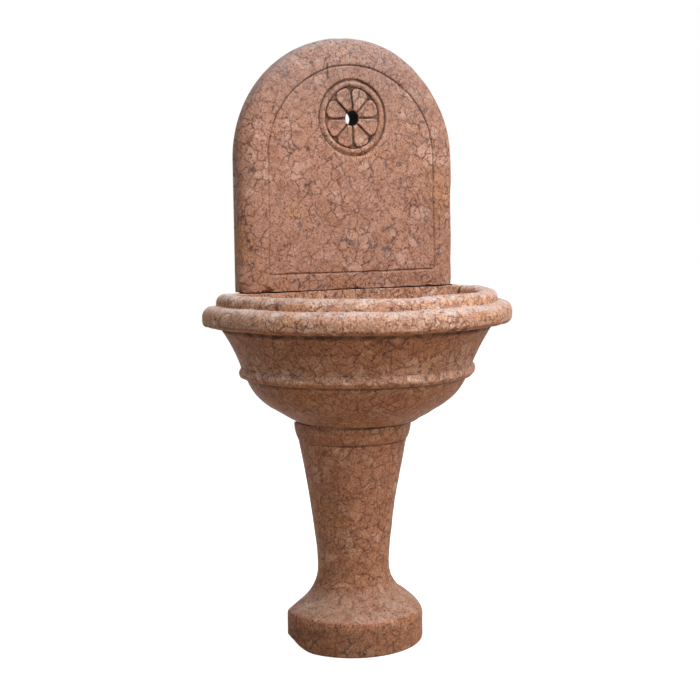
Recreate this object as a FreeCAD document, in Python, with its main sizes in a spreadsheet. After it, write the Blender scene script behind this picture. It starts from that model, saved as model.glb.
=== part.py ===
import FreeCAD
import Part
import Sketcher
import math
import os

# Wall fountain of turned and carved stone, in millimetres: a pedestal, a D-shaped basin, an arched back slab,
# the mortar beds and dowels between them, and the waste with its lift-out overflow pipe.
# +Z is up and the front is -Y. Every piece is drawn from the wall plane, y = 0 in its own body, and its
# placement then sets the middle of the fountain's depth at y = 0.

# Sides that an arc turns to, and the sketcher's own numbers for a side's ends and for its two axes
LEFT = "left"
RIGHT = "right"
START, END, CENTRE = range(1, 4)
ACROSS_AXIS, UP_AXIS = range(-1, -3, -1)
LEAST_CUT = 0.001

SIZES = {
    # Pedestal, from the floor up
    "pedestal_height": (545, "floor to the top of the neck"),
    "pedestal_axis": (29, "turning axis, in front of the wall"),
    "foot_radius": (169, "round foot"),
    "foot_height": (62, "upright face of the foot"),
    "foot_ease": (7, "worn lower edge of the foot"),
    "arris_width": (5.5, "worn arris over the foot's face, across"),
    "arris_rise": (15.5, "worn arris over the foot's face"),
    "shoulder_width": (44, "sloping shoulder with its arris, across"),
    "shoulder_rise": (50, "sloping shoulder with its arris"),
    "shoulder_round": (150, "radius of the shoulder's slight swelling"),
    "waist_radius": (87.5, "narrowest place"),
    "waist_height": (182, "narrowest place, above the floor"),
    "stem_flare": (7, "how far the waist's curve opens above the waist"),
    "stem_rise": (86, "height of that curve"),
    "stem_hollow": (2600, "radius of the shaft's slight hollow"),
    "collar_radius": (132, "shaft just under the incised line"),
    "collar_step": (3, "how far the neck stands out over the line"),
    "collar_drop": (45, "incised line, below the top of the neck"),
    "collar_round": (100, "radius of the neck's swelling"),
    "neck_radius": (145, "top of the neck"),
    "line_width": (4, "incised lines on pedestal and slab"),
    "line_depth": (3, "incised lines on pedestal and slab"),
    # Basin, from its underside up
    "bowl_height": (108, "round bowl under the bead"),
    "neck_margin": (1, "flat underside, beyond the neck"),
    "slope_width": (59, "straight slope under the bowl, beyond the underside"),
    "slope_rise": (35, "straight slope under the bowl"),
    "bowl_round": (147.5, "radius of the bowl's curve over that slope"),
    "bead_height": (28, "bead"),
    "bead_step": (13, "foot of the bead, inside its top"),
    "bead_bulge": (12, "how far the bead swells"),
    "body_height": (94, "hollowed body between bead and rim"),
    "body_flare": (49, "how far the body opens from bead to rim"),
    "body_hollow": (351, "radius of the body's hollow curve"),
    "rim_radius": (373.5, "lower roll of the rim"),
    "rim_overhang": (44.5, "lower roll, beyond the body"),
    "roll_height": (54, "lower roll of the rim"),
    "roll_bulge": (24, "how far the lower roll swells"),
    "lip_inset": (35, "upper roll, inside the lower one"),
    "lip_height": (26.5, "upper roll of the rim"),
    "lip_face": (5.5, "upright foot of the upper roll"),
    "lip_top": (7, "flat top of the upper roll"),
    "mouth_round": (16, "inner rounding of the upper roll"),
    "wall_thickness": (25, "stone at the foot of the body"),
    "floor_thickness": (64, "stone under the hollow"),
    "floor_radius": (150, "flat floor of the hollow"),
    "hollow_rise": (110, "height of the hollow's round bottom"),
    "hollow_round": (125, "radius of the hollow's round bottom"),
    # Back slab
    "slab_thickness": (54, "slab, and the ledge that it stands on"),
    "slab_width": (571, "slab, and the diameter of its arch"),
    "slab_height": (588.5, "slab"),
    "border_width": (61, "cushioned border round the panel"),
    "border_fall": (21, "how far the border falls back at the edge"),
    "panel_inset": (63, "incised panel line, from the slab's edge"),
    "panel_foot": (37, "incised panel line, above the slab's foot"),
    "rosette_height": (401.5, "rosette's centre, above the slab's foot"),
    "rosette_radius": (87.5, "outside of the rosette's ring"),
    "rosette_turn": (2, "how far the carver's rosette is turned, degrees"),
    "ring_width": (16.5, "ring round the petals"),
    "ring_round": (14.5, "radius of the ring's rounded top"),
    "ring_drop": (3, "edges of the ring, below the slab's face"),
    "ring_groove": (4, "cut round the outside of the ring"),
    "field_depth": (6.5, "sunk ground between the petals"),
    "petals": (8, "count of petals"),
    "petal_gap": (4, "groove between two petals"),
    "petal_round": (11, "rounded outer corners of a petal"),
    "petal_drop": (1.5, "petals, below the slab's face"),
    "hub_width": (5, "rim round the bore, where the grooves run out"),
    "spout_radius": (18, "bore for a spout"),
    # Beds and dowels
    "bed_joint": (3, "mortar beds"),
    "bed_inset": (7, "mortar beds, back from the edge of the stone"),
    "dowel_fit": (0.5, "room round a dowel"),
    "basin_dowel_radius": (8, "dowels under the basin"),
    "basin_dowel_spread": (85, "dowels under the basin, from the middle"),
    "basin_dowel_depth": (55, "dowels under the basin, in each stone"),
    "slab_dowel_radius": (6, "dowels under the slab"),
    "slab_dowel_spread": (180, "dowels under the slab, from the middle"),
    "slab_dowel_depth": (50, "dowels under the slab, in each stone"),
    # Waste, from the basin's floor down and back to the wall
    "waste_inset": (44, "waste, in front of the slab's face"),
    "flange_width": (11, "waste flange, beyond the threaded body"),
    "flange_thickness": (4, "waste flange"),
    "flange_gap": (1, "room round the flange and its seal"),
    "seal_thickness": (2, "rubber ring under the flange"),
    "waste_bore": (14.5, "water way, its radius"),
    "socket_step": (2.5, "socket for the overflow pipe, beyond the water way"),
    "socket_depth": (24, "socket for the overflow pipe"),
    "waste_wall": (4, "threaded body of the waste, round its socket"),
    "waste_gap": (3, "room round the body in the stone"),
    "thread_tail": (4, "body that shows under the nut"),
    "nut_wall": (6, "nut, from its thread to its flats"),
    "nut_height": (12, "nut"),
    "nut_recess": (30, "depth of the hollow for the nut in the underside"),
    "nut_room": (4, "room round the washer in that hollow"),
    "washer_edge": (1.8, "rubber ring over the nut, beyond the nut's corners"),
    "washer_thickness": (3, "rubber ring over the nut"),
    "pipe_wall": (3, "waste spigot and outlet pipe"),
    "pipe_fit": (0.1, "room between a pipe and its socket"),
    "spigot_length": (22, "how far pipes enter the bend"),
    "bend_radius": (34, "bend, at its middle line"),
    "bend_wall": (3, "bend, round a pipe"),
    "recess_room": (8, "room round the bend in the neck"),
    # Overflow pipe
    "overflow_height": (186, "overflow edge, above the basin's floor"),
    "overflow_shoulder": (1.5, "overflow pipe, inside its plug"),
    "overflow_wall": (4, "overflow pipe"),
    "mouth_flare": (6, "how far the overflow edge is belled out"),
    "flare_height": (20, "belled end"),
    "stop_width": (5, "stop collar, beyond the pipe"),
    "stop_thickness": (6, "stop collar"),
    "rest_gap": (0.3, "room under the stop collar"),
    "plug_fit": (0.5, "room round the plug in its socket"),
    "plug_room": (6, "room under the plug"),
    "ring_wire": (1.8, "rubber ring's section radius"),
    "ring_fit": (0.1, "room between the rubber ring and its socket or groove"),
    "ring_level": (10, "rubber ring, below the basin's floor"),
    "cut_margin": (10, "how far a cut runs past the stone"),
}

doc = FreeCAD.newDocument("wall_fountain")
sheet = doc.addObject("Spreadsheet::Sheet", "sizes")
for row, (alias, (number, meaning)) in enumerate(SIZES.items(), 1):
    sheet.set(f"A{row}", meaning)
    sheet.set(f"B{row}", str(number))
    sheet.setAlias(f"B{row}", alias)
doc.recompute()

# Levels, axes and radii that several pieces share, each a formula on the sheet
HALF_DEPTH = "(sizes.slab_thickness + sizes.rim_radius) / 2"
PEDESTAL_TOP = "sizes.pedestal_height"
UNDERSIDE = f"({PEDESTAL_TOP} + sizes.bed_joint)"
BEAD_FOOT = f"({UNDERSIDE} + sizes.bowl_height)"
BEAD_TOP = f"({BEAD_FOOT} + sizes.bead_height)"
BODY_TOP = f"({BEAD_TOP} + sizes.body_height)"
ROLL_TOP = f"({BODY_TOP} + sizes.roll_height)"
RIM_TOP = f"({ROLL_TOP} + sizes.lip_height)"
LIP_ROUND = "(sizes.lip_height - sizes.lip_face)"
LIP_RADIUS = "(sizes.rim_radius - sizes.lip_inset)"
BODY_TOP_RADIUS = "(sizes.rim_radius - sizes.rim_overhang)"
BODY_FOOT_RADIUS = f"({BODY_TOP_RADIUS} - sizes.body_flare)"
BOWL_RADIUS = f"({BODY_FOOT_RADIUS} - sizes.bead_step)"
FLOOR = f"({UNDERSIDE} + sizes.floor_thickness)"
SLAB_FOOT = f"({RIM_TOP} + sizes.bed_joint)"
SLAB_TOP = f"({SLAB_FOOT} + sizes.slab_height)"
HALF_SLAB = "(sizes.slab_width / 2)"
SPRING = f"({SLAB_TOP} - {HALF_SLAB})"
ROSETTE = f"({SLAB_FOOT} + sizes.rosette_height)"
RING_INSIDE = "(sizes.rosette_radius - sizes.ring_width)"
WASTE_AXIS = "(sizes.slab_thickness + sizes.waste_inset)"
NUT_SEAT = f"({UNDERSIDE} + sizes.nut_recess)"
NUT_TOP = f"({NUT_SEAT} - sizes.washer_thickness)"
NUT_FOOT = f"({NUT_TOP} - sizes.nut_height)"
WASTE_FOOT = f"({NUT_FOOT} - sizes.thread_tail)"
SPIGOT_FOOT = f"({WASTE_FOOT} - sizes.spigot_length)"
PIPE_LEVEL = f"({SPIGOT_FOOT} - sizes.bend_radius)"
SOCKET_RADIUS = "(sizes.waste_bore + sizes.socket_step)"
WASTE_RADIUS = f"({SOCKET_RADIUS} + sizes.waste_wall)"
FLANGE_RADIUS = f"({WASTE_RADIUS} + sizes.flange_width)"
NUT_FLAT = f"({WASTE_RADIUS} + sizes.nut_wall)"
NUT_POINT = f"({NUT_FLAT} * 2 / sqrt(3))"
WASHER_RADIUS = f"({NUT_POINT} + sizes.washer_edge)"
PIPE_RADIUS = "(sizes.waste_bore + sizes.pipe_wall)"
BEND_RADIUS = f"({PIPE_RADIUS} + sizes.bend_wall)"
BEND_BACK = f"({WASTE_AXIS} - sizes.bend_radius)"
RECESS_HALF = f"({BEND_RADIUS} + sizes.recess_room)"
MARGIN = "sizes.cut_margin"


def value(formula):
    """The number that a formula on the sheet gives."""
    return float(sheet.evalExpression(formula))


def new_body(label):
    """An empty body whose wall plane stands half the fountain's depth behind the middle."""
    body = doc.addObject("PartDesign::Body", label)
    body.Label = label
    body.setExpression("Placement.Base.y", HALF_DEPTH)
    return body


def origin_plane(body, role):
    """One of the body's own origin planes."""
    return next(item for item in body.Origin.OriginFeatures if item.Role == role)


def new_sketch(body, name, role, **offsets):
    """A sketch on an origin plane of its body, moved by formulas along its own x, y and z."""
    sketch = body.newObject("Sketcher::SketchObject", name)
    sketch.AttachmentSupport = [(origin_plane(body, role), "")]
    sketch.MapMode = "FlatFace"
    for axis, formula in offsets.items():
        sketch.setExpression(f"AttachmentOffset.Base.{axis}", formula)
    doc.recompute()
    return sketch


def bind(sketch, constraint, formula):
    """Add a dimension and tie it to its formula."""
    index = sketch.addConstraint(constraint)
    sketch.setExpression(f"Constraints[{index}]", formula)


def pin(sketch, side, end, across, upward):
    """Hold an end of a side at two formulas, measured from the sketch's origin."""
    if value(across) == 0:
        sketch.addConstraint(Sketcher.Constraint("PointOnObject", side, end, UP_AXIS))
    else:
        bind(sketch, Sketcher.Constraint("DistanceX", ACROSS_AXIS, START, side, end, value(across)), across)
    if value(upward) == 0:
        sketch.addConstraint(Sketcher.Constraint("PointOnObject", side, end, ACROSS_AXIS))
    else:
        bind(sketch, Sketcher.Constraint("DistanceY", ACROSS_AXIS, START, side, end, value(upward)), upward)


def arc_between(start, end, radius, turn):
    """The shorter arc from start to end that turns to the given side."""
    half = (end - start) * 0.5
    rise = math.sqrt(max(radius ** 2 - half.Length ** 2, 0.0))
    leftward = FreeCAD.Vector(-half.y, half.x, 0) / half.Length
    inward = leftward if turn == LEFT else -leftward
    centre = start + half + inward * rise
    first, last = (start, end) if turn == LEFT else (end, start)
    begin = math.atan2(first.y - centre.y, first.x - centre.x)
    finish = math.atan2(last.y - centre.y, last.x - centre.x)
    if finish < begin:
        finish += 2 * math.pi
    circle = Part.Circle(centre, FreeCAD.Vector(0, 0, 1), radius)
    return Part.ArcOfCircle(circle, begin, finish)


def swell(across, upward, bulge):
    """Radius of an arc that swells by a bulge over a chord of the given width and height, as a formula."""
    return f"((({across}) ^ 2 + ({upward}) ^ 2) / 4 + ({bulge}) ^ 2) / (2 * ({bulge}))"


def outline(sketch, corners):
    """A closed outline. A corner is (x, y) before a straight side, or (x, y, radius, turn) before an arc."""
    spots = [FreeCAD.Vector(value(corner[0]), value(corner[1]), 0) for corner in corners]
    ends = []
    for index, corner in enumerate(corners):
        start = spots[index]
        end = spots[(index + 1) % len(spots)]
        if len(corner) == 2:
            side = sketch.addGeometry(Part.LineSegment(start, end))
            ends.append((side, START, END))
            continue
        radius, turn = corner[2:]
        side = sketch.addGeometry(arc_between(start, end, value(radius), turn))
        ends.append((side, START, END) if turn == LEFT else (side, END, START))
    for index, (side, first, last) in enumerate(ends):
        following = ends[(index + 1) % len(ends)]
        sketch.addConstraint(Sketcher.Constraint("Coincident", side, last, following[0], following[1]))
    for corner, (side, first, last) in zip(corners, ends):
        pin(sketch, side, first, corner[0], corner[1])
        if len(corner) > 2:
            bind(sketch, Sketcher.Constraint("Radius", side, value(corner[2])), corner[2])


def circle(sketch, across, upward, radius):
    """A full circle at two formulas from the sketch's origin."""
    centre = FreeCAD.Vector(value(across), value(upward), 0)
    round_side = sketch.addGeometry(Part.Circle(centre, FreeCAD.Vector(0, 0, 1), value(radius)))
    pin(sketch, round_side, CENTRE, across, upward)
    bind(sketch, Sketcher.Constraint("Radius", round_side, value(radius)), radius)


def revolve(body, name, sketch, axis="V_Axis"):
    """Turn a section once round an axis of its sketch."""
    feature = body.newObject("PartDesign::Revolution", name)
    feature.Profile = sketch
    feature.ReferenceAxis = (sketch, [axis])
    feature.Angle = 360
    doc.recompute()
    return feature


def pad(body, name, sketch, length):
    """Raise a sketch along its normal by a formula."""
    feature = body.newObject("PartDesign::Pad", name)
    feature.Profile = sketch
    feature.setExpression("Length", length)
    doc.recompute()
    return feature


def must_cut(body, name, before):
    """Stop where a cut missed the solid."""
    if body.Shape.Volume >= before - LEAST_CUT:
        raise RuntimeError(f"{name} cuts nothing")


def pocket(body, name, sketch, length=None, upward=False):
    """Cut a sketch against its normal, or along it, by a formula or right through."""
    before = body.Shape.Volume
    feature = body.newObject("PartDesign::Pocket", name)
    feature.Profile = sketch
    feature.Reversed = upward
    if length is None:
        feature.Type = "ThroughAll"
    else:
        feature.setExpression("Length", length)
    doc.recompute()
    must_cut(body, name, before)
    return feature


def groove(body, name, sketch, axis="V_Axis", angle=360, backward=False):
    """Cut a section round an axis of its sketch."""
    before = body.Shape.Volume
    feature = body.newObject("PartDesign::Groove", name)
    feature.Profile = sketch
    feature.ReferenceAxis = (sketch, [axis])
    feature.Angle = angle
    feature.Reversed = backward
    doc.recompute()
    must_cut(body, name, before)
    return feature


def cut_at_wall(body, name, reach):
    """Cut off everything behind the wall plane, as far out as a formula reaches."""
    sketch = new_sketch(body, f"{name}_wall", "XZ_Plane")
    outline(sketch, [
        (f"-({reach})", f"-{MARGIN}"),
        (reach, f"-{MARGIN}"),
        (reach, SLAB_TOP),
        (f"-({reach})", SLAB_TOP),
    ])
    pocket(body, f"{name}_wall_cut", sketch)


def dowel_holes(body, name, level, spread, radius, depth, upward):
    """Two blind holes in the middle of the ledge's depth, one each side of the middle."""
    sketch = new_sketch(body, f"{name}_places", "XY_Plane", z=level)
    for side in (f"-{spread}", spread):
        circle(sketch, side, "-sizes.slab_thickness / 2", f"{radius} + sizes.dowel_fit")
    pocket(body, name, sketch, depth, upward)


def recess_corners(half_width, wall_end):
    """The slot for the waste bend, open to the wall and round at its front end."""
    return [
        (f"-{half_width}", wall_end),
        (f"-{half_width}", f"-{WASTE_AXIS}", half_width, LEFT),
        ("0", f"-{WASTE_AXIS} - {half_width}", half_width, LEFT),
        (half_width, f"-{WASTE_AXIS}"),
        (half_width, wall_end),
    ]


def make_pedestal():
    """Turned pedestal: foot, sloping shoulder, waist, hollow shaft, incised line and neck, flat at the wall."""
    body = new_body("pedestal")
    arris = "(sizes.arris_width ^ 2 + sizes.arris_rise ^ 2) / (2 * sizes.arris_width)"
    shoulder_radius = "(sizes.foot_radius - sizes.shoulder_width)"
    shoulder_top = "(sizes.foot_height + sizes.shoulder_rise)"
    step = f"({shoulder_radius} - sizes.waist_radius)"
    climb = f"(sizes.waist_height - {shoulder_top})"
    hollow = f"({step} ^ 2 + {climb} ^ 2) / (2 * {step})"
    waist_bend = "(sizes.stem_flare ^ 2 + sizes.stem_rise ^ 2) / (2 * sizes.stem_flare)"
    stem_radius = "sizes.waist_radius + sizes.stem_flare"
    stem_foot = "sizes.waist_height + sizes.stem_rise"
    line_foot = f"({PEDESTAL_TOP} - sizes.collar_drop - sizes.line_width)"
    collar_foot = "sizes.collar_radius + sizes.collar_step"
    section = new_sketch(body, "pedestal_section", "YZ_Plane", x="-sizes.pedestal_axis")
    outline(section, [
        ("0", "0"),
        ("sizes.foot_radius - sizes.foot_ease", "0", "sizes.foot_ease", LEFT),
        ("sizes.foot_radius", "sizes.foot_ease"),
        ("sizes.foot_radius", "sizes.foot_height", arris, LEFT),
        ("sizes.foot_radius - sizes.arris_width", "sizes.foot_height + sizes.arris_rise",
         "sizes.shoulder_round", LEFT),
        (shoulder_radius, shoulder_top, hollow, RIGHT),
        ("sizes.waist_radius", "sizes.waist_height", waist_bend, RIGHT),
        (stem_radius, stem_foot, "sizes.stem_hollow", RIGHT),
        ("sizes.collar_radius", line_foot),
        ("sizes.collar_radius - sizes.line_depth", f"{line_foot} + sizes.line_width / 2"),
        (collar_foot, f"{line_foot} + sizes.line_width", "sizes.collar_round", LEFT),
        ("sizes.neck_radius", PEDESTAL_TOP),
        ("0", PEDESTAL_TOP),
    ])
    revolve(body, "pedestal_turning", section)
    cut_at_wall(body, "pedestal", "sizes.foot_radius + sizes.cut_margin")
    slot = new_sketch(body, "pedestal_recess_outline", "XY_Plane", z=PEDESTAL_TOP)
    outline(slot, recess_corners(RECESS_HALF, MARGIN))
    depth = f"{PEDESTAL_TOP} - {PIPE_LEVEL} + {BEND_RADIUS} + sizes.recess_room"
    pocket(body, "pedestal_recess", slot, depth)
    dowel_holes(body, "pedestal_dowel_holes", PEDESTAL_TOP, "sizes.basin_dowel_spread",
                "sizes.basin_dowel_radius", "sizes.basin_dowel_depth", False)
    return body


def make_basin():
    """Basin: a turned form cut at the wall, hollowed in its front half, with a ledge behind for the slab."""
    body = new_body("basin")
    bead = swell("sizes.bead_step", "sizes.bead_height", "sizes.bead_bulge")
    roll = swell("0", "sizes.roll_height", "sizes.roll_bulge")
    foot = "(sizes.neck_radius + sizes.neck_margin)"
    section = new_sketch(body, "basin_section", "YZ_Plane", x="-sizes.slab_thickness")
    outline(section, [
        ("0", UNDERSIDE),
        (foot, UNDERSIDE),
        (f"{foot} + sizes.slope_width", f"{UNDERSIDE} + sizes.slope_rise", "sizes.bowl_round", LEFT),
        (BOWL_RADIUS, BEAD_FOOT, bead, LEFT),
        (BODY_FOOT_RADIUS, BEAD_TOP, "sizes.body_hollow", RIGHT),
        (BODY_TOP_RADIUS, BODY_TOP),
        ("sizes.rim_radius - sizes.roll_bulge", BODY_TOP, roll, LEFT),
        ("sizes.rim_radius - sizes.roll_bulge", ROLL_TOP),
        (LIP_RADIUS, ROLL_TOP),
        (LIP_RADIUS, f"{ROLL_TOP} + sizes.lip_face", LIP_ROUND, LEFT),
        (f"{LIP_RADIUS} - {LIP_ROUND}", RIM_TOP),
        ("0", RIM_TOP),
    ])
    revolve(body, "basin_turning", section)
    cut_at_wall(body, "basin", "sizes.rim_radius + sizes.cut_margin")
    mouth_top = f"{LIP_RADIUS} - {LIP_ROUND} - sizes.lip_top"
    hollow_side = f"{BODY_FOOT_RADIUS} - sizes.wall_thickness"
    hollow = new_sketch(body, "basin_hollow_section", "XZ_Plane", z="sizes.slab_thickness")
    outline(hollow, [
        ("0", FLOOR),
        ("sizes.floor_radius", FLOOR, "sizes.hollow_round", LEFT),
        (hollow_side, f"{FLOOR} + sizes.hollow_rise"),
        (f"{mouth_top} - sizes.mouth_round", f"{RIM_TOP} - sizes.mouth_round", "sizes.mouth_round", RIGHT),
        (mouth_top, RIM_TOP),
        (mouth_top, f"{RIM_TOP} + {MARGIN}"),
        ("0", f"{RIM_TOP} + {MARGIN}"),
    ])
    groove(body, "basin_hollow", hollow, angle=180, backward=True)
    bore = new_sketch(body, "basin_waste_section", "YZ_Plane", x=f"-{WASTE_AXIS}")
    hole = f"{WASTE_RADIUS} + sizes.waste_gap"
    nut_hollow = f"{WASHER_RADIUS} + sizes.nut_room"
    seat = f"{FLANGE_RADIUS} + sizes.flange_gap"
    seat_level = f"{FLOOR} - sizes.flange_thickness - sizes.seal_thickness"
    outline(bore, [
        ("0", f"{UNDERSIDE} - {MARGIN}"),
        (nut_hollow, f"{UNDERSIDE} - {MARGIN}"),
        (nut_hollow, NUT_SEAT),
        (hole, NUT_SEAT),
        (hole, seat_level),
        (seat, seat_level),
        (seat, f"{FLOOR} + {MARGIN}"),
        ("0", f"{FLOOR} + {MARGIN}"),
    ])
    groove(body, "basin_waste_hole", bore)
    dowel_holes(body, "basin_foot_holes", UNDERSIDE, "sizes.basin_dowel_spread",
                "sizes.basin_dowel_radius", "sizes.basin_dowel_depth", True)
    dowel_holes(body, "basin_ledge_holes", RIM_TOP, "sizes.slab_dowel_spread",
                "sizes.slab_dowel_radius", "sizes.slab_dowel_depth", False)
    return body


def arch_corners(half_width, foot):
    """A round-headed outline whose arch is struck from the slab's own springing."""
    return [
        (f"-({half_width})", foot),
        (half_width, foot),
        (half_width, SPRING, half_width, LEFT),
        ("0", f"{SPRING} + {half_width}", half_width, LEFT),
        (f"-({half_width})", SPRING),
    ]


def cushion_border(body):
    """Let the border fall back in one curve from the panel to the edge, up both sides and over the arch."""
    face = "sizes.slab_thickness"
    curve = "(sizes.border_width ^ 2 + sizes.border_fall ^ 2) / (2 * sizes.border_fall)"
    inside = f"{HALF_SLAB} - sizes.border_width"
    outside = f"{HALF_SLAB} + {MARGIN}"
    fallen = f"sizes.border_fall - {face}"
    section = new_sketch(body, "border_section", "XY_Plane", z=SPRING)
    outline(section, [
        (inside, f"-{face}", curve, LEFT),
        (HALF_SLAB, fallen),
        (outside, fallen),
        (outside, f"-{face} - {MARGIN}"),
        (inside, f"-{face} - {MARGIN}"),
    ])
    side = pocket(body, "border_side", section)
    both = body.newObject("PartDesign::Mirrored", "border_sides")
    both.Originals = [side]
    both.MirrorPlane = (origin_plane(body, "YZ_Plane"), [""])
    body.Tip = both
    doc.recompute()
    groove(body, "border_arch", section, angle=180, backward=True)


def carve_rosette(body):
    """Sunk ground inside a rounded ring, one petal repeated round a low hub, and the bore through the hub."""
    ground = new_sketch(body, "rosette_section", "YZ_Plane", x="-sizes.slab_thickness", y=ROSETTE)
    outline(ground, [
        (f"-{MARGIN}", "0"),
        ("sizes.field_depth", "0"),
        ("sizes.field_depth", RING_INSIDE),
        ("sizes.ring_drop", RING_INSIDE, "sizes.ring_round", RIGHT),
        ("sizes.ring_drop", "sizes.rosette_radius"),
        ("sizes.ring_groove", "sizes.rosette_radius"),
        ("0", "sizes.rosette_radius + sizes.ring_groove"),
        (f"-{MARGIN}", "sizes.rosette_radius + sizes.ring_groove"),
    ])
    groove(body, "rosette_ground", ground, axis="H_Axis")
    petal = new_sketch(body, "petal_outline", "XZ_Plane", y=ROSETTE,
                       z="sizes.slab_thickness - sizes.field_depth")
    petal.setExpression("AttachmentOffset.Rotation.Angle", "180 / sizes.petals - sizes.rosette_turn")
    draw_petal(petal)
    raised = pad(body, "petal", petal, "sizes.field_depth - sizes.petal_drop")
    ring = body.newObject("PartDesign::PolarPattern", "petal_ring")
    ring.Originals = [raised]
    ring.Axis = (petal, ["N_Axis"])
    ring.Angle = 360
    ring.setExpression("Occurrences", "sizes.petals")
    body.Tip = ring
    doc.recompute()
    hub = new_sketch(body, "hub_outline", "XZ_Plane", z="sizes.slab_thickness - sizes.field_depth")
    circle(hub, "0", ROSETTE, "sizes.spout_radius + sizes.hub_width")
    pad(body, "hub", hub, "sizes.field_depth - sizes.petal_drop")
    bore = new_sketch(body, "spout_outline", "XZ_Plane", z="sizes.slab_thickness + sizes.cut_margin")
    circle(bore, "0", ROSETTE, "sizes.spout_radius")
    pocket(body, "spout_bore", bore)


def draw_petal(sketch):
    """A wedge between two radial grooves, with a round outer end whose corners run smoothly into its sides."""
    half_angle = math.pi / value("sizes.petals")
    half_gap = value("sizes.petal_gap") / 2
    corner = value("sizes.petal_round")
    reach = value(f"{RING_INSIDE} - sizes.petal_gap / 2")
    lean = math.asin((half_gap + corner) / (reach - corner))
    along = (reach - corner) * math.cos(lean)
    side_x = along * math.cos(half_angle) + half_gap * math.sin(half_angle)
    side_y = along * math.sin(half_angle) - half_gap * math.cos(half_angle)
    tip = FreeCAD.Vector(half_gap / math.sin(half_angle), 0, 0)
    lower_side = FreeCAD.Vector(side_x, -side_y, 0)
    upper_side = FreeCAD.Vector(side_x, side_y, 0)
    turn = half_angle - lean
    lower_end = FreeCAD.Vector(reach * math.cos(turn), -reach * math.sin(turn), 0)
    upper_end = FreeCAD.Vector(reach * math.cos(turn), reach * math.sin(turn), 0)
    lower = sketch.addGeometry(Part.LineSegment(tip, lower_side))
    first = sketch.addGeometry(arc_between(lower_side, lower_end, corner, LEFT))
    outer = sketch.addGeometry(arc_between(lower_end, upper_end, reach, LEFT))
    second = sketch.addGeometry(arc_between(upper_end, upper_side, corner, LEFT))
    upper = sketch.addGeometry(Part.LineSegment(upper_side, tip))
    sketch.addConstraint(Sketcher.Constraint("Coincident", upper, END, lower, START))
    for side, following in ((lower, first), (first, outer), (outer, second), (second, upper)):
        sketch.addConstraint(Sketcher.Constraint("Tangent", side, END, following, START))
    sketch.addConstraint(Sketcher.Constraint("PointOnObject", lower, START, ACROSS_AXIS))
    sketch.addConstraint(Sketcher.Constraint("Coincident", outer, CENTRE, ACROSS_AXIS, START))
    bind(sketch, Sketcher.Constraint("DistanceX", ACROSS_AXIS, START, lower, START, tip.x),
         "sizes.petal_gap / 2 / sin(180 / sizes.petals)")
    bind(sketch, Sketcher.Constraint("Radius", outer, reach), f"{RING_INSIDE} - sizes.petal_gap / 2")
    bind(sketch, Sketcher.Constraint("Radius", first, corner), "sizes.petal_round")
    bind(sketch, Sketcher.Constraint("Radius", second, corner), "sizes.petal_round")
    for side in (lower, upper):
        bind(sketch, Sketcher.Constraint("Distance", ACROSS_AXIS, START, side, half_gap), "sizes.petal_gap / 2")


def make_back_slab():
    """Arched slab: cushioned border, incised panel line, carved rosette and spout bore."""
    body = new_body("back_slab")
    shape = new_sketch(body, "slab_outline", "XZ_Plane")
    outline(shape, arch_corners(HALF_SLAB, SLAB_FOOT))
    pad(body, "slab_block", shape, "sizes.slab_thickness")
    cushion_border(body)
    line = new_sketch(body, "panel_line_outline", "XZ_Plane", z="sizes.slab_thickness")
    half_panel = f"({HALF_SLAB} - sizes.panel_inset)"
    panel_foot = f"({SLAB_FOOT} + sizes.panel_foot)"
    outline(line, arch_corners(half_panel, panel_foot))
    outline(line, arch_corners(f"({half_panel} - sizes.line_width)", f"{panel_foot} + sizes.line_width"))
    pocket(body, "panel_line", line, "sizes.line_depth")
    carve_rosette(body)
    dowel_holes(body, "slab_foot_holes", SLAB_FOOT, "sizes.slab_dowel_spread",
                "sizes.slab_dowel_radius", "sizes.slab_dowel_depth", True)
    return body


def make_basin_bed():
    """Mortar on top of the neck, kept back from its edge and clear of the recess and the dowels."""
    body = new_body("basin_bed")
    radius = "(sizes.neck_radius - sizes.bed_inset)"
    front = f"-sizes.pedestal_axis - {radius}"
    wall_end = "-sizes.bed_inset"
    corner = f"sqrt({radius} ^ 2 - (sizes.pedestal_axis - sizes.bed_inset) ^ 2)"
    half_slot = f"({RECESS_HALF} + sizes.bed_inset)"
    shape = new_sketch(body, "basin_bed_outline", "XY_Plane", z=PEDESTAL_TOP)
    outline(shape, [
        (half_slot, wall_end),
        (half_slot, f"-{WASTE_AXIS}", half_slot, RIGHT),
        ("0", f"-{WASTE_AXIS} - {half_slot}", half_slot, RIGHT),
        (f"-{half_slot}", f"-{WASTE_AXIS}"),
        (f"-{half_slot}", wall_end),
        (f"-{corner}", wall_end, radius, LEFT),
        ("0", front, radius, LEFT),
        (corner, wall_end),
    ])
    for side in ("-sizes.basin_dowel_spread", "sizes.basin_dowel_spread"):
        circle(shape, side, "-sizes.slab_thickness / 2", "sizes.basin_dowel_radius + sizes.dowel_fit")
    pad(body, "basin_mortar", shape, "sizes.bed_joint")
    return body


def make_slab_bed():
    """Mortar on the basin's ledge, kept back from the slab's edges and clear of the dowels."""
    body = new_body("slab_bed")
    half = f"({HALF_SLAB} - sizes.bed_inset)"
    front = "-sizes.slab_thickness + sizes.bed_inset"
    shape = new_sketch(body, "slab_bed_outline", "XY_Plane", z=RIM_TOP)
    outline(shape, [
        (f"-{half}", front),
        (half, front),
        (half, "-sizes.bed_inset"),
        (f"-{half}", "-sizes.bed_inset"),
    ])
    for side in ("-sizes.slab_dowel_spread", "sizes.slab_dowel_spread"):
        circle(shape, side, "-sizes.slab_thickness / 2", "sizes.slab_dowel_radius + sizes.dowel_fit")
    pad(body, "slab_mortar", shape, "sizes.bed_joint")
    return body


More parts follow.
